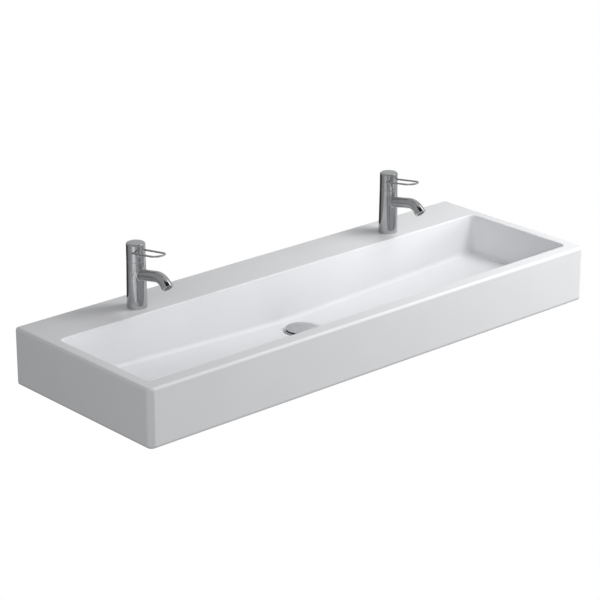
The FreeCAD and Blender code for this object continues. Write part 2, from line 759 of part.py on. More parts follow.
def fixing_parts():
    """The gasket on the deck and the stud, pad, washer and nut below it."""
    deck = -DECK_THICKNESS
    pad_low = deck - PAD_THICKNESS
    washer_low = pad_low - WASHER_THICKNESS
    nut_low = washer_low - STUD_NUT_HEIGHT
    gasket = ring(
        GASKET_GROOVE_OUTER - GASKET_CLEARANCE,
        GASKET_GROOVE_INNER + GASKET_CLEARANCE,
        0,
        GASKET_GROOVE_DEPTH,
    )
    stud = rod(STUD_RADIUS, -STUD_DROP, STUD_DEPTH, 0, STUD_Y)
    stud = stud.makeChamfer(STUD_CHAMFER, chosen_edges(stud, lambda b: b.ZLength < STUD_CHAMFER))
    nut = hexagon(STUD_NUT_WIDTH, nut_low, washer_low).translated(V(0, STUD_Y, 0))
    bore = rod(STUD_RADIUS + STUD_CLEARANCE, nut_low - OVERRUN, washer_low + OVERRUN, 0, STUD_Y)
    return {
        "base_gasket": gasket,
        "fixing_stud": stud,
        "fixing_pad": horseshoe(pad_low, deck),
        "fixing_washer": horseshoe(washer_low, pad_low),
        "fixing_nut": nut.cut(bore),
    }


# Tap: cartridge

def ports(low, high):
    """The two inlet ports and the outlet port between two heights."""
    shapes = [rod(OUTLET_PORT_RADIUS, low - OVERRUN, high + OVERRUN, 0, OUTLET_PORT_Y)]
    for side in (-1, 1):
        port = rod(WATERWAY_RADIUS, low - OVERRUN, high + OVERRUN, side * WATERWAY_X, WATERWAY_Y)
        shapes.append(port)
    return shapes


def cartridge_housing():
    """The plastic housing: disc seat, chamber, rotor bore and neck."""
    disc_seat = FIXED_DISC_RADIUS + DISC_FIT
    rotor_bore = ROTOR_RADIUS + ROTOR_CLEARANCE
    chamber = MOVING_DISC_RADIUS + DISC_SHIFT + CHAMBER_CLEARANCE
    top = SHOULDER_HEIGHT + HOUSING_NECK_LENGTH
    return turned(
        (disc_seat, FIXED_LOW),
        (HOUSING_RADIUS, FIXED_LOW),
        (HOUSING_RADIUS, SHOULDER_HEIGHT),
        (HOUSING_NECK_RADIUS, SHOULDER_HEIGHT),
        (HOUSING_NECK_RADIUS, top),
        (rotor_bore, top),
        (rotor_bore, CHAMBER_CEILING),
        (chamber, CHAMBER_CEILING),
        (chamber, FIXED_HIGH),
        (disc_seat, FIXED_HIGH),
    )


def cartridge_nut():
    """The slotted ring nut that holds the cartridge down."""
    low = SHOULDER_HEIGHT
    high = low + NUT_HEIGHT
    nut = ring(NUT_BORE_RADIUS - COVER_FIT, HOUSING_NECK_RADIUS + NUT_NECK_CLEARANCE, low, high)
    slot_low = high - NUT_SLOT_DEPTH
    slot = block(0, 2 * NUT_BORE_RADIUS, -NUT_SLOT_WIDTH / 2, NUT_SLOT_WIDTH / 2, slot_low, high + OVERRUN)
    return nut.cut(around(slot, NUT_SLOTS))


def stem_reach(height):
    """Radius that the leaning stem sweeps at a height above the ball's centre."""
    lean = math.radians(STEM_LEAN)
    half = STEM_WIDTH / 2
    return math.hypot(half, half / math.cos(lean) + height * math.tan(lean))


def ball_cover():
    """The chromed ball-shaped ring over the nut, open for the stem."""
    foot = SHOULDER_HEIGHT + NUT_HEIGHT
    outer = NUT_BORE_RADIUS - COVER_FIT
    skirt = outer - COVER_SKIRT
    inside = BODY_BALL_RADIUS - COVER_THICKNESS
    opening = stem_reach(BODY_BALL_RADIUS) + COVER_OPENING_CLEARANCE
    over = (outer + opening) / 2
    under = (skirt + opening) / 2
    return turned(
        (skirt, foot),
        (outer, foot),
        (outer, ball_height(outer, BODY_BALL_RADIUS)),
        Bend((over, ball_height(over, BODY_BALL_RADIUS)), (opening, ball_height(opening, BODY_BALL_RADIUS))),
        (opening, ball_height(opening, inside)),
        Bend((under, ball_height(under, inside)), (skirt, ball_height(skirt, inside))),
    )


def cartridge_rotor():
    """The turning carrier of the stem, slotted for its swing, with the pin's bore."""
    slot_half = STEM_WIDTH / 2 + ROTOR_SLOT_CLEARANCE
    length = math.hypot(STEM_WIDTH / 2, STEM_HEEL) + ROTOR_SWING_CLEARANCE
    low = ROTOR_LOW
    high = ROTOR_LOW + ROTOR_HEIGHT
    slot = block(-slot_half, slot_half, -length, length, low - OVERRUN, high + OVERRUN)
    bore = Part.makeCylinder(STEM_PIN_RADIUS, STEM_PIN_LENGTH, V(-STEM_PIN_LENGTH / 2, 0, BALL_HEIGHT), X_AXIS)
    return rod(ROTOR_RADIUS, low, high).cut([slot, bore])


def stem_pin():
    """The pin that the stem swings on."""
    return Part.makeCylinder(STEM_PIN_RADIUS, STEM_PIN_LENGTH, V(-STEM_PIN_LENGTH / 2, 0, BALL_HEIGHT), X_AXIS)


def leaned(shape):
    """Leans a shape built upright on the ball's centre to where it rests."""
    return shape.translated(BALL_CENTRE).rotated(BALL_CENTRE, X_AXIS, STEM_LEAN)


def cartridge_stem():
    """The square stem with its pin bore, neck and driving ball."""
    half = STEM_WIDTH / 2
    stem = block(-half, half, -half, half, -STEM_HEEL, STEM_LENGTH)
    neck = rod(STEM_NECK_RADIUS, -STEM_BALL_DROP, -STEM_HEEL)
    ball = Part.makeSphere(STEM_BALL_RADIUS, V(0, 0, -STEM_BALL_DROP))
    bore = Part.makeCylinder(STEM_PIN_RADIUS + STEM_PIN_CLEARANCE, STEM_WIDTH, V(-half, 0, 0), X_AXIS)
    return leaned(stem.fuse([neck, ball]).cut(bore))


def moving_disc():
    """The ceramic disc with the pocket that joins the inlets to the outlet."""
    size = 2 * MOVING_DISC_RADIUS
    pocket = rod(MIX_POCKET_RADIUS, MOVING_LOW - OVERRUN, MOVING_LOW + MIX_POCKET_DEPTH)
    front_half = block(-size, size, -size, MIX_POCKET_EDGE, MOVING_LOW - size, MOVING_HIGH + size)
    disc = rod(MOVING_DISC_RADIUS, MOVING_LOW, MOVING_HIGH).cut(pocket.cut(front_half))
    return disc.translated(V(0, DISC_SHIFT, 0))


def disc_carrier():
    """The plastic carrier on the moving disc, with its tongue and ball socket."""
    low = MOVING_HIGH
    high = CARRIER_HIGH
    half = STEM_WIDTH / 2
    reach = CARRIER_TONGUE_LENGTH / 2
    tongue = block(-half, half, -reach, reach, low, high + CARRIER_TONGUE_HEIGHT)
    socket = rod(STEM_BALL_RADIUS + STEM_BALL_CLEARANCE, low - OVERRUN, high + 2 * OVERRUN)
    carrier = rod(MOVING_DISC_RADIUS, low, high).fuse(tongue).cut(socket)
    return carrier.removeSplitter().translated(V(0, DISC_SHIFT, 0))


def cartridge_parts():
    """Every piece of the ceramic-disc cartridge and what holds it down."""
    seal = rod(HOUSING_RADIUS, SEAT_HEIGHT, FIXED_LOW).cut(ports(SEAT_HEIGHT, FIXED_LOW))
    disc = rod(FIXED_DISC_RADIUS, FIXED_LOW, FIXED_HIGH).cut(ports(FIXED_LOW, FIXED_HIGH))
    return {
        "port_seal": seal,
        "fixed_disc": disc,
        "moving_disc": moving_disc(),
        "disc_carrier": disc_carrier(),
        "cartridge_housing": cartridge_housing(),
        "cartridge_rotor": cartridge_rotor(),
        "stem_pin": stem_pin(),
        "cartridge_stem": cartridge_stem(),
        "cartridge_nut": cartridge_nut(),
        "ball_cover": ball_cover(),
    }


# Tap: handle

def cap_blank():
    """The handle cap before its holes: a cylinder with a hollow ball seat and a soft top."""
    top = CAP_BASE_HEIGHT + CAP_HEIGHT
    edge = top - CAP_DOME
    dome_radius = (CAP_RADIUS ** 2 + CAP_DOME ** 2) / (2 * CAP_DOME)
    dome_angle = math.asin(CAP_RADIUS / dome_radius) / 2
    dome_via = (dome_radius * math.sin(dome_angle), top - dome_radius * (1 - math.cos(dome_angle)))
    seat_via = (CAP_RADIUS / 2, ball_height(CAP_RADIUS / 2, BALL_RADIUS))
    blank = turned(
        (0, BALL_HEIGHT + BALL_RADIUS),
        Bend(seat_via, (CAP_RADIUS, CAP_BASE_HEIGHT)),
        (CAP_RADIUS, edge),
        Bend(dome_via, (0, top)),
    )
    shoulder = chosen_edges(blank, lambda b: b.ZLength < CAP_DOME and b.ZMin > edge - CAP_DOME)
    return blank.makeFillet(CAP_EDGE_RADIUS, shoulder)


def lever_loop(wire_radius, root):
    """Hairpin of bent wire, from a distance behind the axis out to its round end."""
    slope = math.radians(LEVER_SLOPE)
    half = LEVER_HALF_WIDTH
    tip = (LEVER_REACH - LEVER_WIRE_RADIUS) / math.cos(slope)
    back = root / math.cos(slope)
    tip_height = CAP_BASE_HEIGHT + LEVER_TIP_RISE
    outer = half - tip
    right_leg = round_bar(wire_radius, V(half, back, 0), V(half, outer, 0))
    left_leg = round_bar(wire_radius, V(-half, back, 0), V(-half, outer, 0))
    bend = bent_bar(wire_radius, V(half, outer, 0), -Y_AXIS, V(0, outer, 0), -Z_AXIS, HALF_TURN)
    loop = right_leg.fuse([bend, left_leg]).removeSplitter()
    loop.rotate(ORIGIN, X_AXIS, -LEVER_SLOPE)
    loop.translate(V(0, 0, tip_height - (LEVER_REACH - LEVER_WIRE_RADIUS) * math.tan(slope)))
    return loop


def radial_rod(radius, start, end):
    """Cylinder square to the stem at the grub screw's height, towards the back."""
    bar = Part.makeCylinder(radius, end - start, V(0, start, GRUB_HEIGHT), Y_AXIS)
    return leaned(bar)


def handle_parts():
    """The cap, its loop lever, the grub screw and the plug that covers the screw."""
    blank = cap_blank()
    half = STEM_WIDTH / 2
    socket_half = half + SOCKET_CLEARANCE
    socket_top = STEM_LENGTH + SOCKET_END_CLEARANCE
    socket = leaned(block(-socket_half, socket_half, -socket_half, socket_half, 0, socket_top))
    outside = 2 * CAP_RADIUS
    cover_start = CAP_RADIUS + GRUB_HEIGHT * math.sin(math.radians(STEM_LEAN)) - COVER_PLUG_DEPTH
    grub_bore = radial_rod(GRUB_RADIUS + GRUB_BORE_CLEARANCE, 0, outside)
    cover_bore = radial_rod(COVER_PLUG_RADIUS, cover_start, outside)
    lever_bores = lever_loop(LEVER_WIRE_RADIUS + LEVER_FIT, LEVER_ROOT + LEVER_FIT)
    return {
        "handle_cap": blank.cut([socket, grub_bore, cover_bore, lever_bores]),
        "handle_loop": lever_loop(LEVER_WIRE_RADIUS, LEVER_ROOT),
        "handle_grub_screw": radial_rod(GRUB_RADIUS, half, half + GRUB_LENGTH),
        "handle_screw_cover": cover_bore.common(blank),
    }


def tap_parts():
    """Every piece of one tap about its own axis."""
    parts = {"body": tap_body()}
    parts.update(aerator_parts())
    parts.update(fixing_parts())
    parts.update(cartridge_parts())
    parts.update(handle_parts())
    return parts


def write(name, shape):
    """Writes one named piece."""
    if not shape.isValid():
        print(f"{name} is not valid")
    shape.exportStep(f"parts/{name}.step")
    print(f"{name}: {len(shape.Solids)} solid, {shape.Volume:.1f} mm3")


def main():
    os.makedirs("parts", exist_ok=True)
    write("basin_ceramic", basin_ceramic())
    for name, shape in waste_parts().items():
        write(name, shape)
    tap = tap_parts()
    for side_name, side in (("left", -1), ("right", 1)):
        place = V(side * TAP_SPACING / 2, -TAP_SETBACK, RIM_Z)
        for name, shape in tap.items():
            write(f"tap_{side_name}_{name}", shape.translated(place))


main()
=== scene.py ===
"""Looks of a wall-hung double washbasin with two loop-lever mixer taps.

Metres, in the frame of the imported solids: the origin lies on the wall plane, halfway
along the width and halfway up the ceramic, with X along the width, Y into the wall and
Z up. Each tap is modelled once about its own upright axis, with zero height on the deck
and its spout towards -Y, and its copies are moved to the two tap holes.
"""
import json
import logging
import math
from abc import ABC, abstractmethod
from contextlib import contextmanager
from dataclasses import dataclass, field
from enum import Enum
from typing import Callable, ClassVar, Iterator, Self

import bmesh
import bpy
from mathutils import Matrix, Vector


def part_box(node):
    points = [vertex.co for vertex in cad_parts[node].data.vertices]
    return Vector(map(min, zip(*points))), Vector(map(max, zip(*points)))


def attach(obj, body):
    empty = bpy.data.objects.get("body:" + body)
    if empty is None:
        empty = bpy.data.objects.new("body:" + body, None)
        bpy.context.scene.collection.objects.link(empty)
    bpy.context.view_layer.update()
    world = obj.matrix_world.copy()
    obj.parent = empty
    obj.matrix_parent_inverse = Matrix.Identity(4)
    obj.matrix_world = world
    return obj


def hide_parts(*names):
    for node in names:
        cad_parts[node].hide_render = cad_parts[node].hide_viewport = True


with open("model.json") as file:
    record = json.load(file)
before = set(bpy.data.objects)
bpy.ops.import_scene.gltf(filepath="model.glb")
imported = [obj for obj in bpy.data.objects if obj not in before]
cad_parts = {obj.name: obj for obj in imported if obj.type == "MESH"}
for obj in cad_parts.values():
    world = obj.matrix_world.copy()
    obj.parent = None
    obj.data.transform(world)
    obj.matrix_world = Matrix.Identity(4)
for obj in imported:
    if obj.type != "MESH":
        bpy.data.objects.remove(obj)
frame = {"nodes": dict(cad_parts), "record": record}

Point = tuple[float, ...]
Pair = tuple[float, float]
Triple = tuple[float, float, float]
Place = Vector | Triple
Ramp = tuple[tuple[float, float | Triple], ...]
Socket = bpy.types.NodeSocket
EdgeTest = Callable[[Vector, Vector, float], bool]

LOG = logging.getLogger("washbasin")
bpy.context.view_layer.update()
SLOTS: dict[str, str] = {row["node"]: row["material_slot"] for row in frame["record"]["subparts"]}
MM = 0.001
FULL_TURN = 2 * math.pi
HALF_TURN = math.pi
QUARTER_TURN = math.pi / 2
TINY = 1e-5
OVERRUN = 5 * MM
X_AXIS = Vector((1, 0, 0))
Y_AXIS = Vector((0, 1, 0))
Z_AXIS = Vector((0, 0, 1))
ORIGIN = Vector((0, 0, 0))
FINE = 192
MEDIUM = 96
COARSE = 48
HEXAGON = 6
SHARP_FOLD = 1.0
BORE_FOLD = 0.6
SLIGHT_FOLD = 0.3
WHITE = (1, 1, 1, 1)
NOISE_LOW, NOISE_HIGH = 0.3, 0.7
DARK_STOP, LIGHT_STOP = 0.35, 0.65


class Side(Enum):
    """The two taps, by the word in their nodes' names."""

    LEFT = "left"
    RIGHT = "right"


class Element(Enum):
    """What a pick selects in edit mode."""

    VERTEX = "VERT"
    EDGE = "EDGE"
    FACE = "FACE"


class Cut(Enum):
    """How one workpiece is combined with another."""

    AWAY = "DIFFERENCE"
    JOINED = "UNION"
    SHARED = "INTERSECT"


# Shaping


def upright(along: Vector) -> bool:
    """Whether a direction is nearly straight up or down."""
    return abs(along.z) > 0.9


def level(along: Vector) -> bool:
    """Whether a direction is more level than steep."""
    return abs(along.z) < 0.5


def rounded(corners: list[Point], steps: int) -> list[Point]:
    """Points of an outline whose corners are rounded.

    Args:
        corners: Radii and heights, with a rounding radius as third number where there is one.
        steps: Straight pieces in each rounded corner.

    Returns:
        The outline's points, as radii and heights.
    """
    points = []
    for index, corner in enumerate(corners):
        here = Vector(corner[:2])
        if len(corner) == 2:
            points.append(tuple(here))
            continue
        fillet = corner[2]
        back = (Vector(corners[index - 1][:2]) - here).normalized()
        ahead = (Vector(corners[(index + 1) % len(corners)][:2]) - here).normalized()
        half = back.angle(ahead) / 2
        middle = here + (back + ahead).normalized() * (fillet / math.sin(half))
        spoke = here + back * (fillet / math.tan(half)) - middle
        turn = math.copysign(HALF_TURN - 2 * half, back.x * ahead.y - back.y * ahead.x)
        for step in range(steps + 1):
            points.append(tuple(middle + Matrix.Rotation(-turn * step / steps, 2) @ spoke))
    return points


def ball_arc(centre: float, ball: float, start: float, end: float, steps: int) -> list[Point]:
    """Points up or down the outline of a ball on the axis.

    Args:
        centre: Height of the ball's centre.
        ball: The ball's radius.
        start: Distance from the axis at which the arc starts.
        end: Distance from the axis at which it ends.
        steps: Straight pieces in the arc.

    Returns:
        The points, both ends included, as radii and heights.
    """
    first = math.acos(start / ball)
    sweep = math.acos(end / ball) - first
    angles = [first + sweep * step / steps for step in range(steps + 1)]
    return [(ball * math.cos(angle), centre + ball * math.sin(angle)) for angle in angles]


def crown_ball(radius: float, rise: float) -> float:
    """Radius of the ball that makes a dome of a given radius and rise."""
    return (radius**2 + rise**2) / (2 * rise)


def thread_turns(high: float, low: float, pitch: float) -> list[float]:
    """Heights a pitch apart between two heights, from the top down."""
    return [high - turn * pitch for turn in range(1, math.ceil((high - low) / pitch))]


def ridges(radius: float, depth: float, pitch: float, turns: list[float]) -> list[Point]:
    """Outline of a thread's ridges, from the top down.

    Args:
        radius: Radius of the crests.
        depth: Depth of the grooves.
        pitch: Distance between two grooves.
        turns: Heights of the grooves.

    Returns:
        The outline's points, as radii and heights.
    """
    flank = 0.3 * pitch
    points = []
    for height in turns:
        points += [(radius, height + flank), (radius - depth, height), (radius, height - flank)]
    return points


def rotation(angle: float, axis: str) -> Matrix:
    """A turn about an axis through the origin."""
    return Matrix.Rotation(angle, 4, axis)


def nothing_selected() -> None:
    """Deselects every object."""
    bpy.ops.object.select_all(action="DESELECT")


class Workpiece:
    """A mesh object shaped with operators, whose parts are picked by place and direction."""

    def __init__(self, name: str) -> None:
        """Takes the object that was just added, with its place put into its mesh."""
        self.shape = bpy.context.view_layer.objects.active
        self.shape.name = name
        self.shape.data.name = name
        bpy.ops.object.transform_apply(location=True, rotation=True, scale=True)

    @classmethod
    def block(cls, name: str, low: Place, high: Place) -> Self:
        """A box between its lowest and highest corners."""
        nothing_selected()
        low, high = Vector(low), Vector(high)
        bpy.ops.mesh.primitive_cube_add(size=1, location=(low + high) / 2, scale=high - low)
        return cls(name)

    @classmethod
    def rod(cls, name: str, radius: float, start: Place, end: Place, sides: int = COARSE) -> Self:
        """A cylinder between two points."""
        nothing_selected()
        start, end = Vector(start), Vector(end)
        bpy.ops.mesh.primitive_cylinder_add(
            vertices=sides,
            radius=radius,
            depth=(end - start).length,
            location=(start + end) / 2,
            rotation=Z_AXIS.rotation_difference(end - start).to_euler(),
        )
        return cls(name)

    @classmethod
    def loop(cls, name: str, radius: float, at: Vector, heading: Vector, sides: int) -> Self:
        """An open circle square to a heading, ready to be drawn out into a bar."""
        nothing_selected()
        bpy.ops.mesh.primitive_circle_add(
            vertices=sides,
            radius=radius,
            fill_type="NOTHING",
            location=at,
            rotation=Z_AXIS.rotation_difference(heading).to_euler(),
        )
        return cls(name)

    @classmethod
    def turned(
        cls,
        name: str,
        corners: list[Point],
        sides: int = MEDIUM,
        ring: bool = False,
        steps: int = 6,
    ) -> Self:
        """A solid turned about Z from an outline.

        Args:
            name: The object's name.
            corners: Radii, heights and any roundings of the outline's corners.
            sides: Steps in the full turn.
            ring: Whether the outline closes on itself away from the axis.
            steps: Straight pieces in each rounded corner.

        Returns:
            The turned workpiece.
        """
        nothing_selected()
        path = [Vector((radius, 0, height)) for radius, height in rounded(corners, steps)]
        bpy.ops.mesh.primitive_plane_add(size=MM, location=path[0])
        piece = cls(name)
        with piece.editing():
            bpy.ops.mesh.select_all(action="SELECT")
            bpy.ops.mesh.merge(type="CENTER")
            for here, there in zip(path, path[1:] + (path[:1] if ring else [])):
                bpy.ops.mesh.extrude_vertices_move(TRANSFORM_OT_translate={"value": there - here})
            bpy.ops.mesh.select_all(action="SELECT")
            bpy.ops.mesh.spin(steps=sides, angle=FULL_TURN, center=ORIGIN, axis=Z_AXIS)
            piece.mend()
        return piece

    @contextmanager
    def editing(self) -> Iterator[None]:
        """Edit mode on this workpiece alone, with nothing selected in it."""
        self.chosen()
        bpy.ops.object.mode_set(mode="EDIT")
        bpy.ops.mesh.select_mode(type=Element.VERTEX.value)
        bpy.ops.mesh.select_all(action="DESELECT")
        yield
        bpy.ops.object.mode_set(mode="OBJECT")

    @staticmethod
    def mend() -> None:
        """Merges doubles and points all faces outwards, in edit mode."""
        bpy.ops.mesh.select_all(action="SELECT")
        bpy.ops.mesh.remove_doubles(threshold=TINY / 10)
        bpy.ops.mesh.normals_make_consistent(inside=False)

    def pick(self, kind: Element, test: Callable[..., bool]) -> int:
        """Selects the vertices, edges or faces that pass a test, in edit mode.

        Args:
            kind: What is picked.
            test: Called with a vertex's place; with an edge's middle, direction and fold
                in radians; or with a face's middle and normal.

        Returns:
            How many were picked.
        """
        bpy.ops.mesh.select_all(action="DESELECT")
        bpy.ops.mesh.select_mode(type=kind.value)
        mesh = bmesh.from_edit_mesh(self.shape.data)
        mesh.normal_update()
        if kind is Element.VERTEX:
            found = [vertex for vertex in mesh.verts if test(vertex.co)]
        elif kind is Element.FACE:
            found = [face for face in mesh.faces if test(face.calc_center_median(), face.normal)]
        else:
            found = []
            for edge in mesh.edges:
                start, end = (vertex.co for vertex in edge.verts)
                if test((start + end) / 2, (end - start).normalized(), edge.calc_face_angle(0.0)):
                    found.append(edge)
        for part in found:
            part.select = True
        mesh.select_flush_mode()
        bmesh.update_edit_mesh(self.shape.data)
        return len(found)

    def round_edges(self, radius: float, steps: int, test: EdgeTest, slide: bool = True) -> None:
        """Rounds the edges that pass a test, in edit mode.

        Args:
            radius: Width of the round on each side of the edge.
            steps: Number of faces across the round.
            test: Tells from an edge's middle, direction and fold whether it is rounded.
            slide: Whether the round's ends slide along the edges that meet it.
        """
        if self.pick(Element.EDGE, test):
            bpy.ops.mesh.bevel(
                offset=radius, segments=steps, profile=0.5, affect="EDGES", loop_slide=slide
            )
        else:
            LOG.warning("%s: no edge to round", self.shape.name)

    def combine(self, other: Self, how: Cut) -> Self:
        """Cuts away, joins or intersects another workpiece, which is used up."""
        modifier = self.shape.modifiers.new("combine", "BOOLEAN")
        modifier.operation = how.value
        modifier.solver = "EXACT"
        modifier.object = other.shape
        self.apply(modifier)
        bpy.data.objects.remove(other.shape)
        return self

    def cut(self, *others: Self) -> Self:
        """Cuts other workpieces away, one after another."""
        for other in others:
            self.combine(other, Cut.AWAY)
        return self

    def apply(self, modifier: bpy.types.Modifier) -> None:
        """Applies a modifier of this workpiece."""
        self.chosen()
        bpy.ops.object.modifier_apply(modifier=modifier.name)

    def chosen(self) -> None:
        """Makes this workpiece the only selected and the active object."""
        nothing_selected()
        self.shape.select_set(True)
        bpy.context.view_layer.objects.active = self.shape

    def moved(self, matrix: Matrix) -> Self:
        """Moves or turns the workpiece, with its place kept in its mesh."""
        self.chosen()
        self.shape.matrix_world = matrix
        bpy.ops.object.transform_apply(location=True, rotation=True, scale=True)
        return self

    @staticmethod
    def draw_out(travel: Place) -> None:
        """Draws the selected edges out along a straight line, in edit mode."""
        bpy.ops.mesh.extrude_edges_move(TRANSFORM_OT_translate={"value": travel})

    def close_ends(self, ends: list[tuple[Vector, Vector]]) -> None:
        """Closes open rings that lie in planes, in edit mode.

        Args:
            ends: A point on each plane and the plane's normal.
        """
        for point, normal in ends:
            self.pick(
                Element.EDGE,
                lambda at, along, fold: abs((at - point).dot(normal)) < TINY
                and abs(along.dot(normal)) < TINY
                and fold == 0.0,
            )
            bpy.ops.mesh.edge_face_add()
        self.mend()

    def smoothed(self, angle_deg: float = 30.0) -> Self:
        """Shades the workpiece smooth, with sharp edges kept and flat faces kept flat."""
        self.chosen()
        bpy.ops.object.shade_smooth_by_angle(angle=math.radians(angle_deg))
        modifier = self.shape.modifiers.new("flat faces", "WEIGHTED_NORMAL")
        modifier.keep_sharp = True
        modifier.weight = 60
        self.apply(modifier)
        return self

    def copied(self, name: str, matrix: Matrix) -> Self:
        """A copy with its own mesh, moved by a matrix."""
        self.chosen()
        bpy.ops.object.duplicate()
        return Workpiece(name).moved(matrix)

    def stands_for(self, body: str, node: str) -> None:
        """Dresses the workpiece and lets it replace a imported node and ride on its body.

        Args:
            body: The body that it moves with.
            node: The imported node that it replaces, whose slot gives its finish.
        """
        slot = SLOTS[node]
        dress(self.shape, slot)
        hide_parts(node)
        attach(self.shape, body)
        LOG.info("%s: %d faces, on %s", self.shape.name, len(self.shape.data.polygons), body)


# Finishes


class Graph:
    """A node tree whose nodes are added and joined by short calls."""

    def __init__(self, tree: bpy.types.NodeTree) -> None:
        """Takes the tree and adds a source of coordinates to it."""
        self.tree = tree
        self.coordinates = self.add("TexCoord", {})

    def add(
        self, kind: str, inputs: dict[str | int, object], **settings: object
    ) -> bpy.types.NodeOutputs:
        """Adds a node.

        Args:
            kind: The node's type, without its prefix.
            inputs: Values or sockets for its inputs.
            settings: The node's own settings.

        Returns:
            The node's outputs.
        """
        node = self.tree.nodes.new(f"ShaderNode{kind}")
        for key, value in settings.items():
            setattr(node, key, value)
        self.feed(node, inputs)
        return node.outputs

    def feed(self, node: bpy.types.Node, inputs: dict[str | int, object]) -> None:
        """Links sockets to a node's inputs, or sets them to values."""
        for key, value in inputs.items():
            if isinstance(value, Socket):
                self.tree.links.new(value, node.inputs[key])
            else:
                node.inputs[key].default_value = value

    def ramp(self, value: Socket, stops: Ramp) -> Socket:
        """Turns a value into colours by positions with greys or colours."""
        node = self.tree.nodes.new("ShaderNodeValToRGB")
        elements = node.color_ramp.elements
        while len(elements) < len(stops):
            elements.new(1.0)
        for element, (position, tone) in zip(elements, stops):
            element.position = position
            element.color = (*tone, 1) if isinstance(tone, tuple) else (tone, tone, tone, 1)
        self.feed(node, {"Fac": value})
        return node.outputs["Color"]

    def mixed(self, share: Socket, first: Socket, second: Socket | Point) -> Socket:
        """Mixes a colour with a share of a second one."""
        return self.add("Mix", {"Factor": share, 6: first, 7: second}, data_type="RGBA")[2]


class Bench(Graph):
    """The nodes of one new material."""

    def __init__(self, name: str) -> None:
        """Starts the material with its shader."""
        self.material = bpy.data.materials.new(name)
        self.material.use_nodes = True
        super().__init__(self.material.node_tree)
        self.shader = self.tree.nodes["Principled BSDF"]

    def noise(self, scale: float, detail: float, stretch: Triple = (1, 1, 1)) -> Socket:
        """Noise on object coordinates, with its features per metre and its octaves."""
        where = self.add("Mapping", {"Vector": self.coordinates["Object"], "Scale": stretch})
        inputs = {"Vector": where["Vector"], "Scale": scale, "Detail": detail}
        return self.add("TexNoise", inputs)["Fac"]

    def ranged(self, value: Socket, low: float, high: float) -> Socket:
        """Maps the middle of a noise to a range of numbers."""
        limits = {"From Min": NOISE_LOW, "From Max": NOISE_HIGH, "To Min": low, "To Max": high}
        return self.add("MapRange", {"Value": value, **limits})["Result"]

    def relief(self, value: Socket, depth: float) -> None:
        """Adds bump of a real depth to the shader, on top of what is there."""
        inputs = {"Height": value, "Distance": depth, "Strength": 1.0}
        before = self.shader.inputs["Normal"]
        if before.is_linked:
            inputs["Normal"] = before.links[0].from_socket
        self.feed(self.shader, {"Normal": self.add("Bump", inputs)["Normal"]})


@dataclass(frozen=True)
class Finish(ABC):
    """A surface finish, built once as a material and then shared.

    Its noises are pairs of a scale, in features per metre, and a detail, in octaves.
    """

    tone: ClassVar[Pair]
    gloss: ClassVar[Pair]
    name: str
    light: Triple
    dark: Triple
    smoothest: float
    roughest: float

    def material(self) -> bpy.types.Material:
        """The finish's material."""
        found = bpy.data.materials.get(self.name)
        if found is None:
            bench = Bench(self.name)
            self.build(bench)
            found = bench.material
        return found

    def toned(self, bench: Bench) -> None:
        """Varies the colour and the roughness by the finish's own noises."""
        stops = ((DARK_STOP, self.dark), (LIGHT_STOP, self.light))
        colour = bench.ramp(bench.noise(*self.tone), stops)
        roughness = bench.ranged(bench.noise(*self.gloss), self.smoothest, self.roughest)
        bench.feed(bench.shader, {"Base Color": colour, "Roughness": roughness})

    @abstractmethod
    def build(self, bench: Bench) -> None:
        """Builds the finish's nodes."""


@dataclass(frozen=True)
class Glaze(Finish):
    """White sanitary glaze: glassy, with a faint unevenness from the firing."""

    tone: ClassVar[Pair] = (7, 2)
    gloss: ClassVar[Pair] = (23, 3)
    wave: ClassVar[Pair] = (34, 1)
    orange_peel: ClassVar[Pair] = (210, 2)
    wave_depth: float = 0.00006
    orange_peel_depth: float = 0.00001
    refraction: float = 1.5

    def build(self, bench: Bench) -> None:
        """Builds the glassy white with a long wave and a fine one."""
        self.toned(bench)
        bench.feed(bench.shader, {"IOR": self.refraction})
        bench.relief(bench.noise(*self.wave), self.wave_depth)
        bench.relief(bench.noise(*self.orange_peel), self.orange_peel_depth)


@dataclass(frozen=True)
class Metal(Finish):
    """Plated or bare metal, with the marks of its polishing or turning."""

    tone: ClassVar[Pair] = (90, 3)
    gloss: ClassVar[Pair] = (140, 4)
    grain_detail: ClassVar[float] = 2
    grain_depth: float = 0.00002
    grain_scale: float = 600.0
    grain_stretch: Triple = (1, 1, 1)

    def build(self, bench: Bench) -> None:
        """Builds the metal with uneven gloss and a fine grain."""
        self.toned(bench)
        bench.feed(bench.shader, {"Metallic": 1.0})
        grain = bench.noise(self.grain_scale, self.grain_detail, self.grain_stretch)
        bench.relief(grain, self.grain_depth)


@dataclass(frozen=True)
class Moulded(Finish):
    """Moulded plastic or rubber, with the spark-eroded grain of its mould."""

    tone: ClassVar[Pair] = (120, 4)
    gloss: ClassVar[Pair] = (420, 2)
    grain: ClassVar[Pair] = (1400, 3)
    grain_depth: float = 0.00003

    def build(self, bench: Bench) -> None:
        """Builds the moulded surface with its grain."""
        self.toned(bench)
        bench.relief(bench.noise(*self.grain), self.grain_depth)


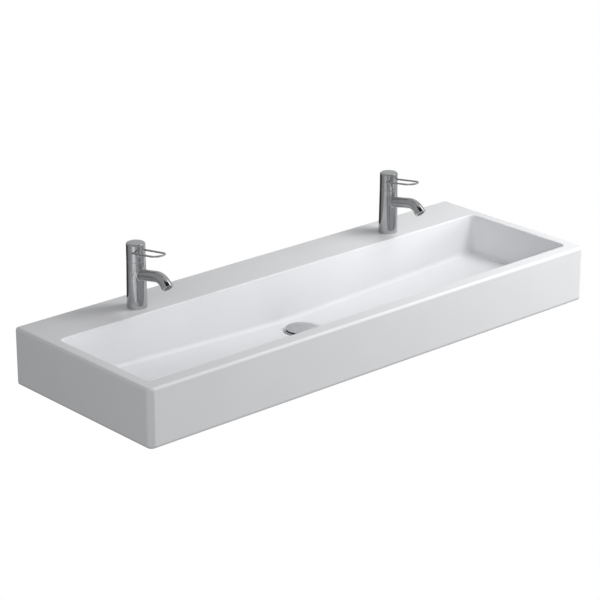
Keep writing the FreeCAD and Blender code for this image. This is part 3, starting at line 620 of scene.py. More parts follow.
FINISHES: dict[str, Finish] = {
    "white_glaze": Glaze(
        "fired_glaze", (0.883, 0.891, 0.908), (0.867, 0.875, 0.892), 0.12, 0.18
    ),
    "chrome": Metal(
        "chrome_plate", (0.57, 0.575, 0.585), (0.53, 0.535, 0.545), 0.03, 0.07, 0.000004, 260
    ),
    "brass": Metal(
        "turned_brass", (0.76, 0.6, 0.33), (0.66, 0.5, 0.26), 0.22, 0.36, 0.00002, 700, (1, 1, 6)
    ),
    "steel": Metal("zinc_plated_steel", (0.62, 0.63, 0.64), (0.5, 0.51, 0.53), 0.28, 0.42),
    "rubber": Moulded(
        "black_rubber", (0.035, 0.035, 0.038), (0.022, 0.022, 0.025), 0.55, 0.75
    ),
    "grey_plastic": Moulded("grey_acetal", (0.5, 0.51, 0.53), (0.46, 0.47, 0.49), 0.4, 0.55),
    "cover_plastic": Moulded(
        "glossy_grey_plug", (0.56, 0.57, 0.59), (0.53, 0.54, 0.56), 0.14, 0.22, 0.000006
    ),
    "disc_ceramic": Moulded(
        "lapped_alumina", (0.86, 0.85, 0.82), (0.82, 0.81, 0.78), 0.2, 0.3, 0.000004
    ),
}


def dress(shape: bpy.types.Object, slot: str) -> None:
    """Gives an object the finish of a material slot."""
    shape.data.materials.clear()
    shape.data.materials.append(FINISHES[slot].material())


# Ceramic


@dataclass
class Ceramic:
    """The one-piece glazed ceramic with its bowl, hollow underside and holes."""

    front_corner: float = 14 * MM
    top_edge: float = 6 * MM
    bottom_edge: float = 8 * MM
    side_rim: float = 26 * MM
    front_rim: float = 33 * MM
    deck_depth: float = 108 * MM
    draft: float = math.radians(1.5)
    bowl_corner: float = 14 * MM
    bowl_floor: float = 10 * MM
    rim_edge: float = 2.5 * MM
    floor_low: float = 13 * MM
    floor_fall: float = math.radians(2.3)
    floor_round: float = 80 * MM
    floor_thickness: float = 11 * MM
    deck_thickness: float = 14 * MM
    outer_wall: float = 14 * MM
    cavity_front_wall: float = 12 * MM
    cavity_corner: float = 10 * MM
    cavity_top: float = 6 * MM
    foot_width: float = 20 * MM
    tap_hole: float = 17.5 * MM
    wall_hole: float = 7 * MM
    wall_hole_places: tuple[float, ...] = (-440 * MM, -140 * MM, 140 * MM, 440 * MM)
    drain_setback: float = 170 * MM
    drain_hole: float = 23 * MM
    drain_seat: float = 36 * MM
    drain_seat_edge: float = 1.5 * MM
    drain_seat_depth: float = 4 * MM
    drain_dish_spread: float = 6 * MM
    drain_lip: float = 4 * MM
    drain_lip_reach: float = 2 * MM
    drain_boss: float = 46 * MM
    smooth_deg: float = 32.0
    node: str = "basin_ceramic"
    low: Vector = field(init=False)
    high: Vector = field(init=False)

    def __post_init__(self) -> None:
        """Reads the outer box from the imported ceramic."""
        self.low, self.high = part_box(self.node)

    @property
    def floor_middle(self) -> float:
        """Height of the bowl's floor at its lowest, in the middle."""
        return self.low.z + self.floor_low

    def crease(self, drop: float = 0.0) -> float:
        """Height at which the two slopes of the floor would meet if they weren't rounded."""
        rise = self.floor_round * (math.tan(self.floor_fall) - math.tan(self.floor_fall / 2))
        return self.floor_middle - drop - rise

    def block(self) -> Workpiece:
        """The outer block with its rounded corners and edges."""
        low, high = self.low, self.high
        middle = (low.y + high.y) / 2
        wall = high.y - TINY
        piece = Workpiece.block("basin_ceramic_glazed", low, high)
        with piece.editing():
            piece.round_edges(
                self.front_corner,
                steps=12,
                test=lambda at, along, fold: upright(along) and at.y < middle,
            )
            piece.round_edges(
                self.top_edge,
                steps=10,
                test=lambda at, along, fold: at.z > high.z - TINY and at.y < wall,
            )
            piece.round_edges(
                self.bottom_edge,
                steps=8,
                test=lambda at, along, fold: at.z < low.z + TINY and at.y < wall,
            )
        return piece

    def sloped(self, piece: Workpiece, height: float, half: float, steps: int) -> None:
        """Gives a block's level face the floor's two slopes and the round between them.

        Args:
            piece: The block, in edit mode.
            height: Height of its face, at which the two slopes meet.
            half: Half the face's length.
            steps: Number of faces across the round.
        """
        bpy.ops.mesh.select_all(action="SELECT")
        bpy.ops.mesh.bisect(plane_co=ORIGIN, plane_no=X_AXIS)
        piece.pick(Element.VERTEX, lambda at: abs(at.z - height) < TINY and abs(at.x) > half / 2)
        bpy.ops.transform.translate(value=(0, 0, half * math.tan(self.floor_fall)))
        piece.round_edges(
            self.floor_round,
            steps=steps,
            test=lambda at, along, fold: abs(at.x) < TINY and abs(at.z - height) < TINY,
        )

    def bowl(self) -> Workpiece:
        """The bowl's space: drafted walls and a floor that falls to the middle."""
        lean = math.tan(self.draft)
        over = OVERRUN * lean
        low = self.crease()
        depth = (self.high.z - low) * lean
        half = self.high.x - self.side_rim
        front = self.low.y + self.front_rim
        back = self.high.y - self.deck_depth
        reach = (back - front) / 2
        mouth = Vector((half + over, back + over, self.high.z + OVERRUN))
        piece = Workpiece.block("bowl", (-mouth.x, front - over, low), mouth)
        with piece.editing():
            piece.pick(Element.FACE, lambda at, normal: normal.z < 0 and upright(normal))
            bpy.ops.transform.resize(
                value=((half - depth) / (half + over), (reach - depth) / (reach + over), 1),
                center_override=(0, (back + front) / 2, low),
            )
            self.sloped(piece, low, half - depth, steps=10)
            piece.round_edges(
                self.bowl_corner,
                steps=10,
                test=lambda at, along, fold: upright(along) and abs(at.x) > half / 2,
            )
            piece.round_edges(
                self.bowl_floor,
                steps=8,
                test=lambda at, along, fold: at.z < -self.floor_low
                and level(along)
                and fold > SHARP_FOLD,
            )
        return piece

    def drain(self) -> Workpiece:
        """The dished seat for the waste's flange and the hole below it."""
        seat = self.floor_middle - self.drain_seat_depth
        high = self.floor_middle + OVERRUN
        low = self.low.z - OVERRUN
        spread = self.drain_dish_spread / self.drain_seat_depth * (high - seat)
        points = [
            (0, high),
            (self.drain_seat + spread, high),
            (self.drain_seat, seat, self.drain_seat_edge),
            (self.drain_hole, seat),
            (self.drain_hole, low),
            (0, low),
        ]
        piece = Workpiece.turned("drain", points, FINE)
        return piece.moved(Matrix.Translation((0, -self.drain_setback, 0)))

    def cavity(self) -> Workpiece:
        """The open hollow under the deck."""
        half = self.high.x - self.outer_wall
        front = self.high.y - self.deck_depth + self.cavity_front_wall
        back = self.high.y - self.outer_wall
        top = self.high.z - self.deck_thickness
        piece = Workpiece.block("cavity", (-half, front, self.low.z - OVERRUN), (half, back, top))
        with piece.editing():
            piece.round_edges(
                self.cavity_corner, steps=8, test=lambda at, along, fold: upright(along)
            )
            piece.round_edges(
                self.cavity_top, steps=6, test=lambda at, along, fold: at.z > top - TINY
            )
        return piece

    def recess(self) -> Workpiece:
        """The shallow hollow under the sloping floor, with the waste's boss left in it."""
        half = self.high.x - self.foot_width
        crest = self.crease(self.floor_thickness)
        front = self.low.y + self.foot_width
        back = self.high.y - self.deck_depth - self.cavity_front_wall
        low = self.low.z - OVERRUN
        piece = Workpiece.block("recess", (-half, front, low), (half, back, crest))
        with piece.editing():
            self.sloped(piece, crest, half, steps=8)
            piece.round_edges(
                self.cavity_corner,
                steps=8,
                test=lambda at, along, fold: upright(along) and abs(at.x) > half / 2,
            )
            piece.round_edges(
                self.cavity_top,
                steps=6,
                test=lambda at, along, fold: at.z > crest - TINY
                and level(along)
                and fold > SHARP_FOLD,
            )
        at = Vector((0, -self.drain_setback, 0))
        foot = at + Z_AXIS * (low - OVERRUN)
        return piece.cut(Workpiece.rod("boss", self.drain_boss, foot, at, MEDIUM))

    def holes(self) -> list[Workpiece]:
        """The two tap holes and the four wall holes."""
        found = []
        for side in Side:
            at = tap_place(side).translation
            foot = at - Z_AXIS * (self.deck_thickness + OVERRUN)
            top = at + Z_AXIS * OVERRUN
            found.append(Workpiece.rod("tap_hole", self.tap_hole, foot, top, MEDIUM))
        for x in self.wall_hole_places:
            start, end = (x, -self.outer_wall - OVERRUN, 0), (x, OVERRUN, 0)
            found.append(Workpiece.rod("wall_hole", self.wall_hole, start, end))
        return found

    def build(self) -> None:
        """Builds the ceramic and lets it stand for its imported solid."""
        piece = self.block().cut(self.bowl())
        inside = self.high.x - self.side_rim / 2
        with piece.editing():
            piece.round_edges(
                self.rim_edge,
                steps=6,
                test=lambda at, along, fold: at.z > self.high.z - TINY
                and abs(at.x) < inside
                and self.low.y + self.front_rim / 2 < at.y < -self.deck_depth / 2
                and fold > SHARP_FOLD,
            )
        piece.cut(self.drain())
        centre = Vector((0, -self.drain_setback))
        dish, reach = self.drain_seat + self.drain_dish_spread, self.drain_lip_reach
        with piece.editing():
            piece.round_edges(
                self.drain_lip,
                steps=6,
                test=lambda at, along, fold: abs((at.xy - centre).length - dish) < reach
                and at.z > self.floor_middle - reach / 2
                and fold > SLIGHT_FOLD,
                slide=False,
            )
        piece.cut(self.cavity(), self.recess(), *self.holes()).smoothed(self.smooth_deg)
        piece.stands_for("basin", self.node)


# Waste


def hexagon_nut(
    name: str, width: float, bore: float, low: float, high: float, bevel: float
) -> Workpiece:
    """A hexagonal nut about Z with turned bevels.

    Args:
        name: The nut's name.
        width: Its width across flats.
        bore: Radius of its bore.
        low: Height of its underside.
        high: Height of its top.
        bevel: Height of the bevels at its corners.

    Returns:
        The bored nut.
    """
    corner = width / math.sqrt(3)
    wide = corner + TINY
    piece = Workpiece.rod(name, corner, (0, 0, low), (0, 0, high), HEXAGON)
    piece.moved(rotation(HALF_TURN / HEXAGON, "Z"))
    lathe = [
        (0, low),
        (width / 2, low),
        (wide, low + bevel),
        (wide, high - bevel),
        (width / 2, high),
        (0, high),
    ]
    piece.combine(Workpiece.turned("lathe", lathe), Cut.SHARED)
    return piece.cut(
        Workpiece.rod("bore", bore, (0, 0, low - OVERRUN), (0, 0, high + OVERRUN), MEDIUM)
    )


@dataclass
class Waste:
    """The flange with its threaded tube, the nut below it and the domed plug."""

    flange: float = 35 * MM
    flange_edge: float = 1 * MM
    flange_thickness: float = 2.6 * MM
    tube: float = 20.95 * MM
    bore: float = 17.8 * MM
    bore_bevel: float = 1 * MM
    soft_edge: float = 0.3 * MM
    relief_depth: float = 0.8 * MM
    relief_high: float = -82 * MM
    relief_low: float = -85 * MM
    thread_pitch: float = 2.309 * MM
    thread_depth: float = 0.9 * MM
    spider_top: float = -78.7 * MM
    spider_low: float = -86.7 * MM
    spider_arm: float = 2.6 * MM
    hub: float = 7 * MM
    hub_bore: float = 4.1 * MM
    arms: int = 3
    nut_width: float = 56 * MM
    nut_bevel: float = 1.6 * MM
    nut_fit: float = 0.1 * MM
    plug: float = 32.5 * MM
    plug_rim: float = 1.5 * MM
    plug_rise: float = 3 * MM
    plug_edge: float = 0.7 * MM
    plug_dome_inset: float = 2 * MM
    setback: float = 170 * MM

    def placed(self, piece: Workpiece, body: str, node: str) -> None:
        """Finishes a piece and moves it from the waste's own axis to its place."""
        place = Matrix.Translation((0, -self.setback, 0))
        piece.moved(place).smoothed().stands_for(body, node)

    def tube_outline(self, low: float, high: float) -> list[Point]:
        """Outside of the tube from the flange down: thread, relief and thread."""
        pitch, groove = self.thread_pitch, self.tube - self.relief_depth
        turns = thread_turns(high - pitch, low + 2 * pitch, pitch)
        upper = [height for height in turns if height >= self.relief_high + pitch]
        lower = [height for height in turns if height <= self.relief_low - pitch]
        return [
            *ridges(self.tube, self.thread_depth, pitch, upper),
            (self.tube, self.relief_high),
            (groove, self.relief_high),
            (groove, self.relief_low),
            (self.tube, self.relief_low),
            *ridges(self.tube, self.thread_depth, pitch, lower),
        ]

    def spider(self) -> Workpiece:
        """The hub and the arms that hold it in the tube."""
        low, top, half = self.spider_low, self.spider_top, self.spider_arm / 2
        hub = Workpiece.rod("hub", self.hub, (0, 0, low), (0, 0, top))
        reach = (self.bore + self.tube - self.thread_depth) / 2
        for arm in range(self.arms):
            bar = Workpiece.block("arm", (-half, -reach, low), (half, 0, top))
            bar.moved(rotation(arm * FULL_TURN / self.arms, "Z"))
            hub.combine(bar, Cut.JOINED)
        return hub

    def body(self) -> Workpiece:
        """The flange, the tube and the spider inside it."""
        low, high = (corner.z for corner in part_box("waste_body"))
        under = high - self.flange_thickness
        points = [
            (self.bore, high - self.bore_bevel, self.soft_edge),
            (self.bore + self.bore_bevel, high, self.soft_edge),
            (self.flange, high, self.flange_edge),
            (self.flange, under),
            (self.tube, under),
            *self.tube_outline(low, under),
            (self.tube, low + self.bore_bevel),
            (self.tube - self.bore_bevel, low),
            (self.bore, low),
        ]
        piece = Workpiece.turned("waste_body_threaded", points, ring=True)
        piece.combine(self.spider(), Cut.JOINED)
        foot, top = (0, 0, self.spider_low - OVERRUN), (0, 0, self.spider_top + OVERRUN)
        return piece.cut(Workpiece.rod("stud", self.hub_bore, foot, top))

    def lock_nut(self) -> Workpiece:
        """The hexagonal nut with its turned bevels."""
        low, high = (corner.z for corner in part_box("waste_lock_nut"))
        bore = self.tube + self.nut_fit
        return hexagon_nut(
            "waste_lock_nut_bevelled", self.nut_width, bore, low, high, self.nut_bevel
        )

    def dome(self) -> Workpiece:
        """The domed plug with its rounded rim."""
        low, high = (corner.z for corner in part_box("plug_dome"))
        ball = crown_ball(self.plug, self.plug_rise)
        points = [
            (0, low),
            (self.plug, low, self.soft_edge),
            (self.plug, low + self.plug_rim, self.plug_edge),
            *ball_arc(high - ball, ball, self.plug - self.plug_dome_inset, 0, steps=16),
        ]
        return Workpiece.turned("plug_dome_polished", points, FINE)

    def build(self) -> None:
        """Builds the pieces of the waste that show."""
        self.placed(self.body(), "basin", "waste_body")
        self.placed(self.lock_nut(), "basin", "waste_lock_nut")
        self.placed(self.dome(), "plug", "plug_dome")


# Tap


def tap_place(side: Side) -> Matrix:
    """From a tap's own axis to its hole in the deck."""
    low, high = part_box(f"tap_{side.value}_handle_cap")
    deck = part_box("basin_ceramic")[1].z
    return Matrix.Translation(((low.x + high.x) / 2, (low.y + high.y) / 2, deck))


@dataclass
class Spout:
    """The bent spout's line: straight and rising, then bent down to its end."""

    root_height: float = 69 * MM
    rise: float = math.radians(10.5)
    reach: float = 65 * MM
    bend: float = 34 * MM
    turn: float = math.radians(53.5)
    radius: float = 11.4 * MM
    bore: float = 6.5 * MM
    bore_start: float = 16.5 * MM
    spigot: float = 10.4 * MM
    spigot_length: float = 5 * MM

    def heading(self, angle: float) -> Vector:
        """Direction of the line at an angle above the level."""
        return Vector((0, -math.cos(angle), math.sin(angle)))

    def spoke(self, angle: float) -> Vector:
        """From the bend's centre to the line where it has an angle above the level."""
        return Vector((0, math.sin(angle), math.cos(angle))) * self.bend

    def at(self, reach: float) -> Vector:
        """Point of the straight part at a distance from the axis."""
        return Vector((0, -reach, self.root_height + reach * math.tan(self.rise)))

    @property
    def centre(self) -> Vector:
        """Centre of the bend."""
        return self.at(self.reach) - self.spoke(self.rise)

    @property
    def end(self) -> Matrix:
        """From a piece built upwards from the origin to the spout's end."""
        left = self.rise - self.turn
        turn = Z_AXIS.rotation_difference(self.heading(left)).to_matrix().to_4x4()
        return Matrix.Translation(self.centre + self.spoke(left)) @ turn

    def bar(
        self, name: str, radius: float, start: float, nose: float, nose_length: float
    ) -> Workpiece:
        """Round bar along the line, with a nose beyond its end.

        Args:
            name: The bar's name.
            radius: Its radius.
            start: Distance from the axis at which it starts.
            nose: Radius of the nose.
            nose_length: Length of the nose.

        Returns:
            The closed bar.
        """
        first, end = self.at(start), self.end.translation
        along, last = self.heading(self.rise), self.heading(self.rise - self.turn)
        piece = Workpiece.loop(name, radius, first, along, MEDIUM)
        with piece.editing():
            bpy.ops.mesh.select_all(action="SELECT")
            piece.draw_out(self.at(self.reach) - first)
            bpy.ops.mesh.spin(steps=32, angle=-self.turn, center=self.centre, axis=X_AXIS)
            if nose != radius:
                piece.draw_out(ORIGIN)
                bpy.ops.transform.resize(value=(nose / radius,) * 3, center_override=end)
            piece.draw_out(last * nose_length)
            piece.close_ends([(first, along), (end + last * nose_length, last)])
        return piece


@dataclass
class TapBody:
    """The cast body: a slim cone under a ball-shaped end, with the spout and the bores."""

    base: float = 21 * MM
    base_edge: float = 0.5 * MM
    lip: float = 19.5 * MM
    lip_edge: float = 0.3 * MM
    ball_centre: float = 91 * MM
    ball: float = 20.83 * MM
    nut_bore: float = 16 * MM
    nut_ledge: float = 93 * MM
    cartridge_bore: float = 13.6 * MM
    cartridge_seat: float = 73 * MM
    joint_fillet: float = 1.5 * MM
    joint_reach: float = 0.2 * MM
    inlet: float = 4.5 * MM
    inlet_depth: float = 14 * MM
    inlet_x: float = 8 * MM
    inlet_y: float = -1 * MM
    stud: float = 4.05 * MM
    stud_y: float = 12.5 * MM
    stud_depth: float = 22 * MM
    groove_outer: float = 20 * MM
    groove_inner: float = 17.9 * MM
    groove_depth: float = 1.6 * MM
    spout: Spout = field(default_factory=Spout)

    def blank(self) -> Workpiece:
        """The turned body joined with the bent spout."""
        lip, *cap = ball_arc(self.ball_centre, self.ball, self.lip, 0, steps=24)
        points = [(0, 0), (self.base, 0, self.base_edge), (*lip, self.lip_edge), *cap]
        piece = Workpiece.turned("tap_body", points, FINE, steps=4)
        spout = self.spout
        bar = spout.bar("spout", spout.radius, 0, spout.spigot, spout.spigot_length)
        return piece.combine(bar, Cut.JOINED)

    def soften_joint(self, piece: Workpiece) -> None:
        """Rounds the crease between the body and the spout."""
        line = self.spout.heading(self.spout.rise)
        root = self.spout.at(0)
        taper = (self.lip - self.base) / (self.ball_centre + math.sqrt(self.ball**2 - self.lip**2))

        def on_joint(at: Vector, along: Vector, fold: float) -> bool:
            """Whether an edge lies on both the cone and the spout."""
            out = at - root
            from_spout = (out - line * out.dot(line)).length - self.spout.radius
            from_cone = at.xy.length - self.base - taper * at.z
            return max(abs(from_spout), abs(from_cone)) < self.joint_reach and fold > SLIGHT_FOLD

        with piece.editing():
            piece.round_edges(self.joint_fillet, steps=4, test=on_joint)

    def bores(self) -> list[Workpiece]:
        """Tools for the cartridge's bore, the spout's bore and the holes in the base."""
        high = self.ball_centre + self.ball + OVERRUN
        stepped = [
            (0, high),
            (self.nut_bore, high),
            (self.nut_bore, self.nut_ledge),
            (self.cartridge_bore, self.nut_ledge),
            (self.cartridge_bore, self.cartridge_seat),
            (0, self.cartridge_seat),
        ]
        groove = [
            (self.groove_outer, -OVERRUN),
            (self.groove_outer, self.groove_depth),
            (self.groove_inner, self.groove_depth),
            (self.groove_inner, -OVERRUN),
        ]
        spout = self.spout
        beyond = 2 * spout.spigot_length
        return [
            Workpiece.turned("cartridge_bore", stepped),
            spout.bar("spout_bore", spout.bore, spout.bore_start, spout.bore, beyond),
            Workpiece.turned("groove", groove, ring=True),
            *(
                Workpiece.rod("hole", radius, (x, y, -OVERRUN), (x, y, depth))
                for x, y, radius, depth in (
                    (-self.inlet_x, self.inlet_y, self.inlet, self.inlet_depth),
                    (self.inlet_x, self.inlet_y, self.inlet, self.inlet_depth),
                    (0, self.stud_y, self.stud, self.stud_depth),
                )
            ),
        ]

    def build(self) -> Workpiece:
        """Builds the body about the tap's own axis."""
        piece = self.blank()
        self.soften_joint(piece)
        return piece.cut(*self.bores()).smoothed()


@dataclass
class Aerator:
    """The chromed sleeve on the spout's end."""

    radius: float = 11.9 * MM
    seam: float = 0.3 * MM
    seam_edge: float = 0.3 * MM
    length: float = 9 * MM
    edge: float = 0.8 * MM
    inner: float = 10.5 * MM
    lip: float = 1 * MM
    mouth: float = 9 * MM
    mouth_edge: float = 0.4 * MM

    def build(self, end: Matrix) -> Workpiece:
        """Builds the sleeve at the spout's end."""
        points = [
            (self.inner, self.seam),
            (self.radius, self.seam, self.seam_edge),
            (self.radius, self.length, self.edge),
            (self.mouth, self.length, self.mouth_edge),
            (self.mouth, self.length - self.lip),
            (self.inner, self.length - self.lip),
        ]
        piece = Workpiece.turned("aerator_shell", points, ring=True)
        return piece.moved(end).smoothed()


@dataclass
class BallCover:
    """The chromed ball-shaped ring under the handle."""

    outer: float = 15.95 * MM
    skirt: float = 14.35 * MM
    thickness: float = 1.8 * MM
    foot: float = 98 * MM
    opening: float = 9.47 * MM

    def build(self, centre: float, ball: float) -> Workpiece:
        """Builds the ring that completes a ball with a centre's height and a radius."""
        points = [
            (self.skirt, self.foot),
            (self.outer, self.foot),
            *ball_arc(centre, ball, self.outer, self.opening, steps=12),
            *ball_arc(centre, ball - self.thickness, self.opening, self.skirt, steps=12),
        ]
        return Workpiece.turned("ball_cover", points, ring=True).smoothed()


@dataclass
class Fixing:
    """What holds the tap below the deck: the threaded stud, the pad, the washer and the nut."""

    stud: float = 4 * MM
    stud_y: float = 12.5 * MM
    stud_bevel: float = 0.8 * MM
    thread_pitch: float = 1.25 * MM
    thread_depth: float = 0.6 * MM
    nut_width: float = 13 * MM
    nut_bevel: float = 0.7 * MM
    nut_fit: float = 0.05 * MM
    plate: float = 25 * MM
    slot_half: float = 16 * MM
    slot_end: float = 6 * MM
    slot_corner: float = 8 * MM
    stud_hole: float = 4.3 * MM
    washer_edge: float = 0.3 * MM
    pad_edge: float = 0.5 * MM

    @property
    def place(self) -> Matrix:
        """From the stud's own axis to its place in the tap."""
        return Matrix.Translation((0, self.stud_y, 0))

    @staticmethod
    def heights(node: str) -> list[float]:
        """Heights of a node's underside and top over the deck."""
        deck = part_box("basin_ceramic")[1].z
        return [corner.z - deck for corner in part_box(f"tap_{Side.LEFT.value}_{node}")]

    def threaded_stud(self) -> Workpiece:
        """The stud, threaded from end to end."""
        low, high = self.heights("fixing_stud")
        slim = self.stud - self.stud_bevel
        top, foot = high - self.stud_bevel, low + self.stud_bevel
        turns = thread_turns(top, foot + self.thread_pitch, self.thread_pitch)
        points = [
            (0, high),
            (slim, high),
            (self.stud, top),
            *ridges(self.stud, self.thread_depth, self.thread_pitch, turns),
            (self.stud, foot),
            (slim, low),
            (0, low),
        ]
        return Workpiece.turned("fixing_stud", points, COARSE).moved(self.place).smoothed()

    def nut(self) -> Workpiece:
        """The nut on the stud."""
        bore = self.stud + self.nut_fit
        heights = self.heights("fixing_nut")
        piece = hexagon_nut("fixing_nut", self.nut_width, bore, *heights, self.nut_bevel)
        return piece.moved(self.place).smoothed()

    def horseshoe(self, node: str, edge: float) -> Workpiece:
        """Open plate that passes the supply hoses and the stud.

        Args:
            node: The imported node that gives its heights.
            edge: Radius of its rounded edges.

        Returns:
            The plate about the tap's own axis.
        """
        low, high = self.heights(node)
        under, over = low - OVERRUN, high + OVERRUN
        plate = Workpiece.rod(node, self.plate, (0, 0, low), (0, 0, high), FINE)
        slot = Workpiece.block(
            "slot", (-self.slot_half, -2 * self.plate, under), (self.slot_half, self.slot_end, over)
        )
        with slot.editing():
            slot.round_edges(
                self.slot_corner,
                steps=8,
                test=lambda at, along, fold: upright(along) and at.y > 0,
            )
        hole = Workpiece.rod("hole", self.stud_hole, (0, 0, under), (0, 0, over))
        plate.cut(slot, hole.moved(self.place))
        with plate.editing():
            plate.round_edges(
                edge, steps=2, test=lambda at, along, fold: level(along) and fold > SHARP_FOLD
            )
        return plate.smoothed()


@dataclass
class Handle:
    """The cap on the ball, its hairpin of wire and the plug over the grub screw."""

    radius: float = 19.5 * MM
    foot: float = 99 * MM
    foot_edge: float = 0.05 * MM
    height: float = 38 * MM
    dome: float = 1 * MM
    dome_inset: float = 4.8 * MM
    edge: float = 4 * MM
    ball_centre: float = 91 * MM
    wire: float = 2 * MM
    wire_fit: float = 0.03 * MM
    half_width: float = 15.5 * MM
    reach: float = 86 * MM
    tip_rise: float = 31 * MM
    slope: float = math.radians(8.4)
    root: float = 2 * MM
    bore_edge: float = 0.35 * MM
    lean: float = math.radians(12.5)
    stem_half: float = 3.55 * MM
    stem_top: float = 31.3 * MM
    grub_height: float = 26 * MM
    grub: float = 2.55 * MM
    cover: float = 3.5 * MM
    cover_depth: float = 3 * MM
    cover_edge: float = 0.25 * MM
    skin: float = 0.05 * MM

    @property
    def leaned(self) -> Matrix:
        """From the ball's centre with the stem upright to where the stem rests."""
        return Matrix.Translation((0, 0, self.ball_centre)) @ rotation(self.lean, "X")

    def blank(self) -> Workpiece:
        """The turned cap before its holes."""
        ball = math.hypot(self.radius, self.foot - self.ball_centre)
        *seat, rim = ball_arc(self.ball_centre, ball, 0, self.radius, steps=24)
        top = self.foot + self.height
        crown = crown_ball(self.radius, self.dome)
        points = [
            *seat,
            (*rim, self.foot_edge),
            (self.radius, top - self.dome, self.edge),
            *ball_arc(top - crown, crown, self.radius - self.dome_inset, 0, steps=16),
        ]
        return Workpiece.turned("handle_cap", points, FINE, steps=10)

    def loop(self, name: str, wire: float, root: float) -> Workpiece:
        """The hairpin: two legs and the bend between them, rising outwards.

        Args:
            name: The hairpin's name.
            wire: Its wire's radius.
            root: Distance behind the axis at which it starts.

        Returns:
            The hairpin about the tap's own axis.
        """
        half = self.half_width
        outer = half - (self.reach - self.wire) / math.cos(self.slope)
        back = root / math.cos(self.slope)
        start = Vector((half, back, 0))
        piece = Workpiece.loop(name, wire, start, -Y_AXIS, COARSE)
        with piece.editing():
            bpy.ops.mesh.select_all(action="SELECT")
            piece.draw_out((0, outer - back, 0))
            bpy.ops.mesh.spin(steps=64, angle=HALF_TURN, center=(0, outer, 0), axis=Z_AXIS)
            piece.draw_out((0, back - outer, 0))
            piece.close_ends([(start, Y_AXIS)])
        height = self.foot + self.tip_rise - (self.reach - self.wire) * math.tan(self.slope)
        tilt = rotation(-self.slope, "X")
        return piece.moved(Matrix.Translation((0, 0, height)) @ tilt)

    def towards_back(self, name: str, radius: float, start: float) -> Workpiece:
        """Bar square to the stem at the grub screw's height, out through the cap's back."""
        begin = Vector((0, start, self.grub_height))
        bar = Workpiece.rod(name, radius, begin, begin + Y_AXIS * 2 * self.radius)
        return bar.moved(self.leaned)

    @property
    def cover_start(self) -> float:
        """Distance from the stem's line to the cover's inner end."""
        return self.radius + self.grub_height * math.sin(self.lean) - self.cover_depth

    def cap(self) -> Workpiece:
        """The cap with its socket, screw hole and the bores for the hairpin."""
        half = self.stem_half
        socket = Workpiece.block("socket", (-half, -half, 0), (half, half, self.stem_top))
        piece = self.blank().cut(
            socket.moved(self.leaned),
            self.towards_back("grub_bore", self.grub, 0),
            self.towards_back("cover_bore", self.cover, self.cover_start),
            self.loop("wire_bores", self.wire + self.wire_fit, self.root + self.wire_fit),
        )
        low, high = self.foot + self.edge, self.foot + self.height - self.edge - self.dome
        with piece.editing():
            piece.round_edges(
                self.bore_edge,
                steps=2,
                test=lambda at, along, fold: abs(at.xy.length - self.radius) < self.skin
                and low < at.z < high
                and fold > BORE_FOLD,
            )
        return piece.smoothed()

    def screw_cover(self) -> Workpiece:
        """The plain plug over the grub screw, flush with the cap."""
        piece = self.towards_back("handle_screw_cover", self.cover, self.cover_start)
        piece.combine(self.blank(), Cut.SHARED)
        skin = self.radius - self.skin
        with piece.editing():
            piece.round_edges(
                self.cover_edge,
                steps=2,
                test=lambda at, along, fold: at.xy.length > skin and fold > BORE_FOLD,
            )
        return piece.smoothed()

    def wire_loop(self) -> Workpiece:
        """The finished hairpin."""
        return self.loop("handle_loop", self.wire, self.root).smoothed()


@dataclass
class Tap:
    """One mixer tap, modelled once and copied to both holes."""

    body: TapBody = field(default_factory=TapBody)
    aerator: Aerator = field(default_factory=Aerator)
    ball_cover: BallCover = field(default_factory=BallCover)
    handle: Handle = field(default_factory=Handle)
    fixing: Fixing = field(default_factory=Fixing)

    def pieces(self) -> dict[str, Workpiece]:
        """Builds every piece about the tap's own axis, by the end of its node's name."""
        body, fixing, handle = self.body, self.fixing, self.handle
        return {
            "body": body.build(),
            "aerator_shell": self.aerator.build(body.spout.end),
            "ball_cover": self.ball_cover.build(body.ball_centre, body.ball),
            "fixing_stud": fixing.threaded_stud(),
            "fixing_pad": fixing.horseshoe("fixing_pad", fixing.pad_edge),
            "fixing_washer": fixing.horseshoe("fixing_washer", fixing.washer_edge),
            "fixing_nut": fixing.nut(),
            "handle_cap": handle.cap(),
            "handle_loop": handle.wire_loop(),
            "handle_screw_cover": handle.screw_cover(),
        }

    def build(self) -> None:
        """Builds the tap and sets a copy of each piece at both holes."""
        for node, piece in self.pieces().items():
            for side in Side:
                tap = f"tap_{side.value}"
                body = f"{tap}_lift" if node.startswith("handle") else "basin"
                copy = piece.copied(f"{tap}_{node}_finished", tap_place(side))
                copy.stands_for(body, f"{tap}_{node}")
            bpy.data.objects.remove(piece.shape)


# Studio


@dataclass(frozen=True)
class Lamp:
    """A soft square lamp that glossy surfaces don't mirror."""

    name: str
    place: Triple
    size: float
    watts: float
    aim: Triple = (0, -0.2, 0)

    def hang(self) -> None:
        """Hangs the lamp, facing its aim."""
        data = bpy.data.lights.new(self.name, "AREA")
        data.size = self.size
        data.energy = self.watts
        lamp = bpy.data.objects.new(self.name, data)
        bpy.context.scene.collection.objects.link(lamp)
        turn = (Vector(self.place) - Vector(self.aim)).to_track_quat("Z", "Y")
        lamp.matrix_world = Matrix.Translation(self.place) @ turn.to_matrix().to_4x4()
        lamp.visible_glossy = False


@dataclass(frozen=True)
class Card:
    """A card or window that glossy surfaces mirror, as shares round about and up."""

    sides: Ramp
    heights: Ramp
    grey: float


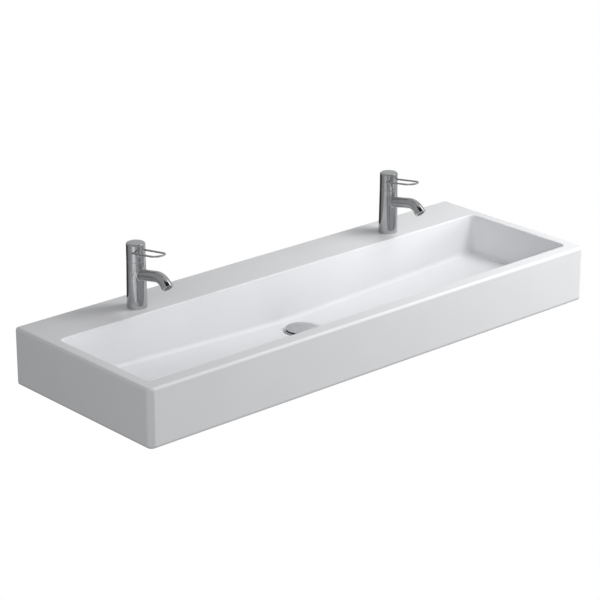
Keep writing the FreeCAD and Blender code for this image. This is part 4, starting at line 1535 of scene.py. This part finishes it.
@dataclass
class Studio:
    """The camera, the lamps and the world."""

    lens: float = 134.07
    sensor: float = 36.0
    place: Triple = (-2.9119, -3.4023, 1.6599)
    yaw_deg: float = 41.979
    pitch_deg: float = 20.694
    roll_deg: float = -0.131
    lamps: tuple[Lamp, ...] = (
        Lamp("key", (0.9, -0.8, 1.2), 0.8, 14.4),
        Lamp("right_side", (2.8, -1.2, 0.4), 1.5, 53.5),
        Lamp("left_fill", (-2.6, -1.4, 1.2), 2.0, 18.5),
        Lamp("front_fill", (0.3, -3.2, 0.9), 2.0, 7),
        Lamp("low_front", (0.9, -2.6, 0.2), 1.6, 7),
    )
    soft_light: float = 0.21
    low_greys: Ramp = (
        *((0, 0.45), (0.015, 0.6), (0.05, 0.85), (0.07, 1), (0.095, 1), (0.115, 0.5)),
        *((0.147, 0.42), (0.213, 0.26), (0.25, 0.26), (0.3, 0.4), (0.36, 0.45), (0.41, 0.5)),
        *((0.53, 0.6), (0.6, 0.5), (0.64, 0.45), (0.68, 0.06), (0.82, 0.06), (0.87, 0.3)),
        *((0.94, 0.36), (1, 0.45)),
    )
    high_greys: Ramp = (
        *((0, 0.4), (0.3, 0.5), (0.5, 0.55), (0.6, 0.6), (0.65, 0.55), (0.7, 0.38)),
        *((0.86, 0.36), (1, 0.4)),
    )
    above: Ramp = ((0.47, 0), (0.54, 1))
    dark_card: Card = Card(
        sides=((0.03, 0), (0.06, 1), (0.36, 1), (0.39, 0)),
        heights=((0.82, 0), (0.85, 1), (0.95, 1), (0.97, 0)),
        grey=0.02,
    )
    window: Card = Card(
        sides=((0.385, 0), (0.395, 1), (0.455, 1), (0.47, 0)),
        heights=((0.77, 0), (0.79, 1), (0.92, 1), (0.94, 0)),
        grey=1.9,
    )

    def camera(self) -> None:
        """Sets the camera that took the picture."""
        data = bpy.data.cameras.new("camera")
        data.lens = self.lens
        data.sensor_width = self.sensor
        data.clip_end = 100
        camera = bpy.data.objects.new("camera", data)
        bpy.context.scene.collection.objects.link(camera)
        turn = rotation(-math.radians(self.yaw_deg), "Z")
        tilt = rotation(QUARTER_TURN - math.radians(self.pitch_deg), "X")
        roll = rotation(-math.radians(self.roll_deg), "Z")
        camera.matrix_world = Matrix.Translation(self.place) @ turn @ tilt @ roll
        bpy.context.scene.camera = camera

    def world(self) -> None:
        """Lights dull surfaces softly and shows a white backdrop, with greys in mirrors."""
        world = bpy.data.worlds.new("world")
        bpy.context.scene.world = world
        world.use_nodes = True
        graph = Graph(world.node_tree)
        soft = graph.tree.nodes["Background"]
        graph.feed(soft, {"Color": WHITE, "Strength": self.soft_light})
        path = graph.add("LightPath", {})
        seen = path["Is Camera Ray"]
        shown = graph.mixed(seen, self.surroundings(graph), WHITE)
        for ray in ("Is Glossy Ray", "Is Transmission Ray"):
            seen = graph.add("Math", {0: seen, 1: path[ray]}, operation="MAXIMUM")["Value"]
        backdrop = graph.add("Background", {"Color": shown})["Background"]
        shaders = {"Fac": seen, 1: soft.outputs["Background"], 2: backdrop}
        both = graph.add("MixShader", shaders)["Shader"]
        graph.feed(graph.tree.nodes["World Output"], {"Surface": both})

    def surroundings(self, graph: Graph) -> Socket:
        """What glossy surfaces mirror: greys all round, a dark card and a bright window."""
        where = graph.coordinates["Generated"]
        around = graph.add("TexGradient", {"Vector": where}, gradient_type="RADIAL")["Fac"]
        upwards = graph.add("SeparateXYZ", {"Vector": where})["Z"]
        height = graph.add("MapRange", {"Value": upwards, "From Min": -1})["Result"]
        greys = graph.mixed(
            graph.ramp(height, self.above),
            graph.ramp(around, self.low_greys),
            graph.ramp(around, self.high_greys),
        )
        for card in (self.dark_card, self.window):
            shares = {0: graph.ramp(around, card.sides), 1: graph.ramp(height, card.heights)}
            share = graph.add("Math", shares, operation="MULTIPLY")["Value"]
            greys = graph.mixed(share, greys, (card.grey, card.grey, card.grey, 1))
        return greys

    def build(self) -> None:
        """Sets up the whole studio."""
        bpy.context.scene.view_settings.view_transform = "Standard"
        self.camera()
        for lamp in self.lamps:
            lamp.hang()
        self.world()


def dress_nodes() -> None:
    """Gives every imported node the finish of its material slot."""
    for node, slot in SLOTS.items():
        dress(frame["nodes"][node], slot)


def main() -> None:
    """Builds the studio and every piece in order."""
    logging.basicConfig(level=logging.INFO, format="%(name)s %(message)s")
    Studio().build()
    dress_nodes()
    Ceramic().build()
    Waste().build()
    Tap().build()


if __name__ == "__main__":
    main()
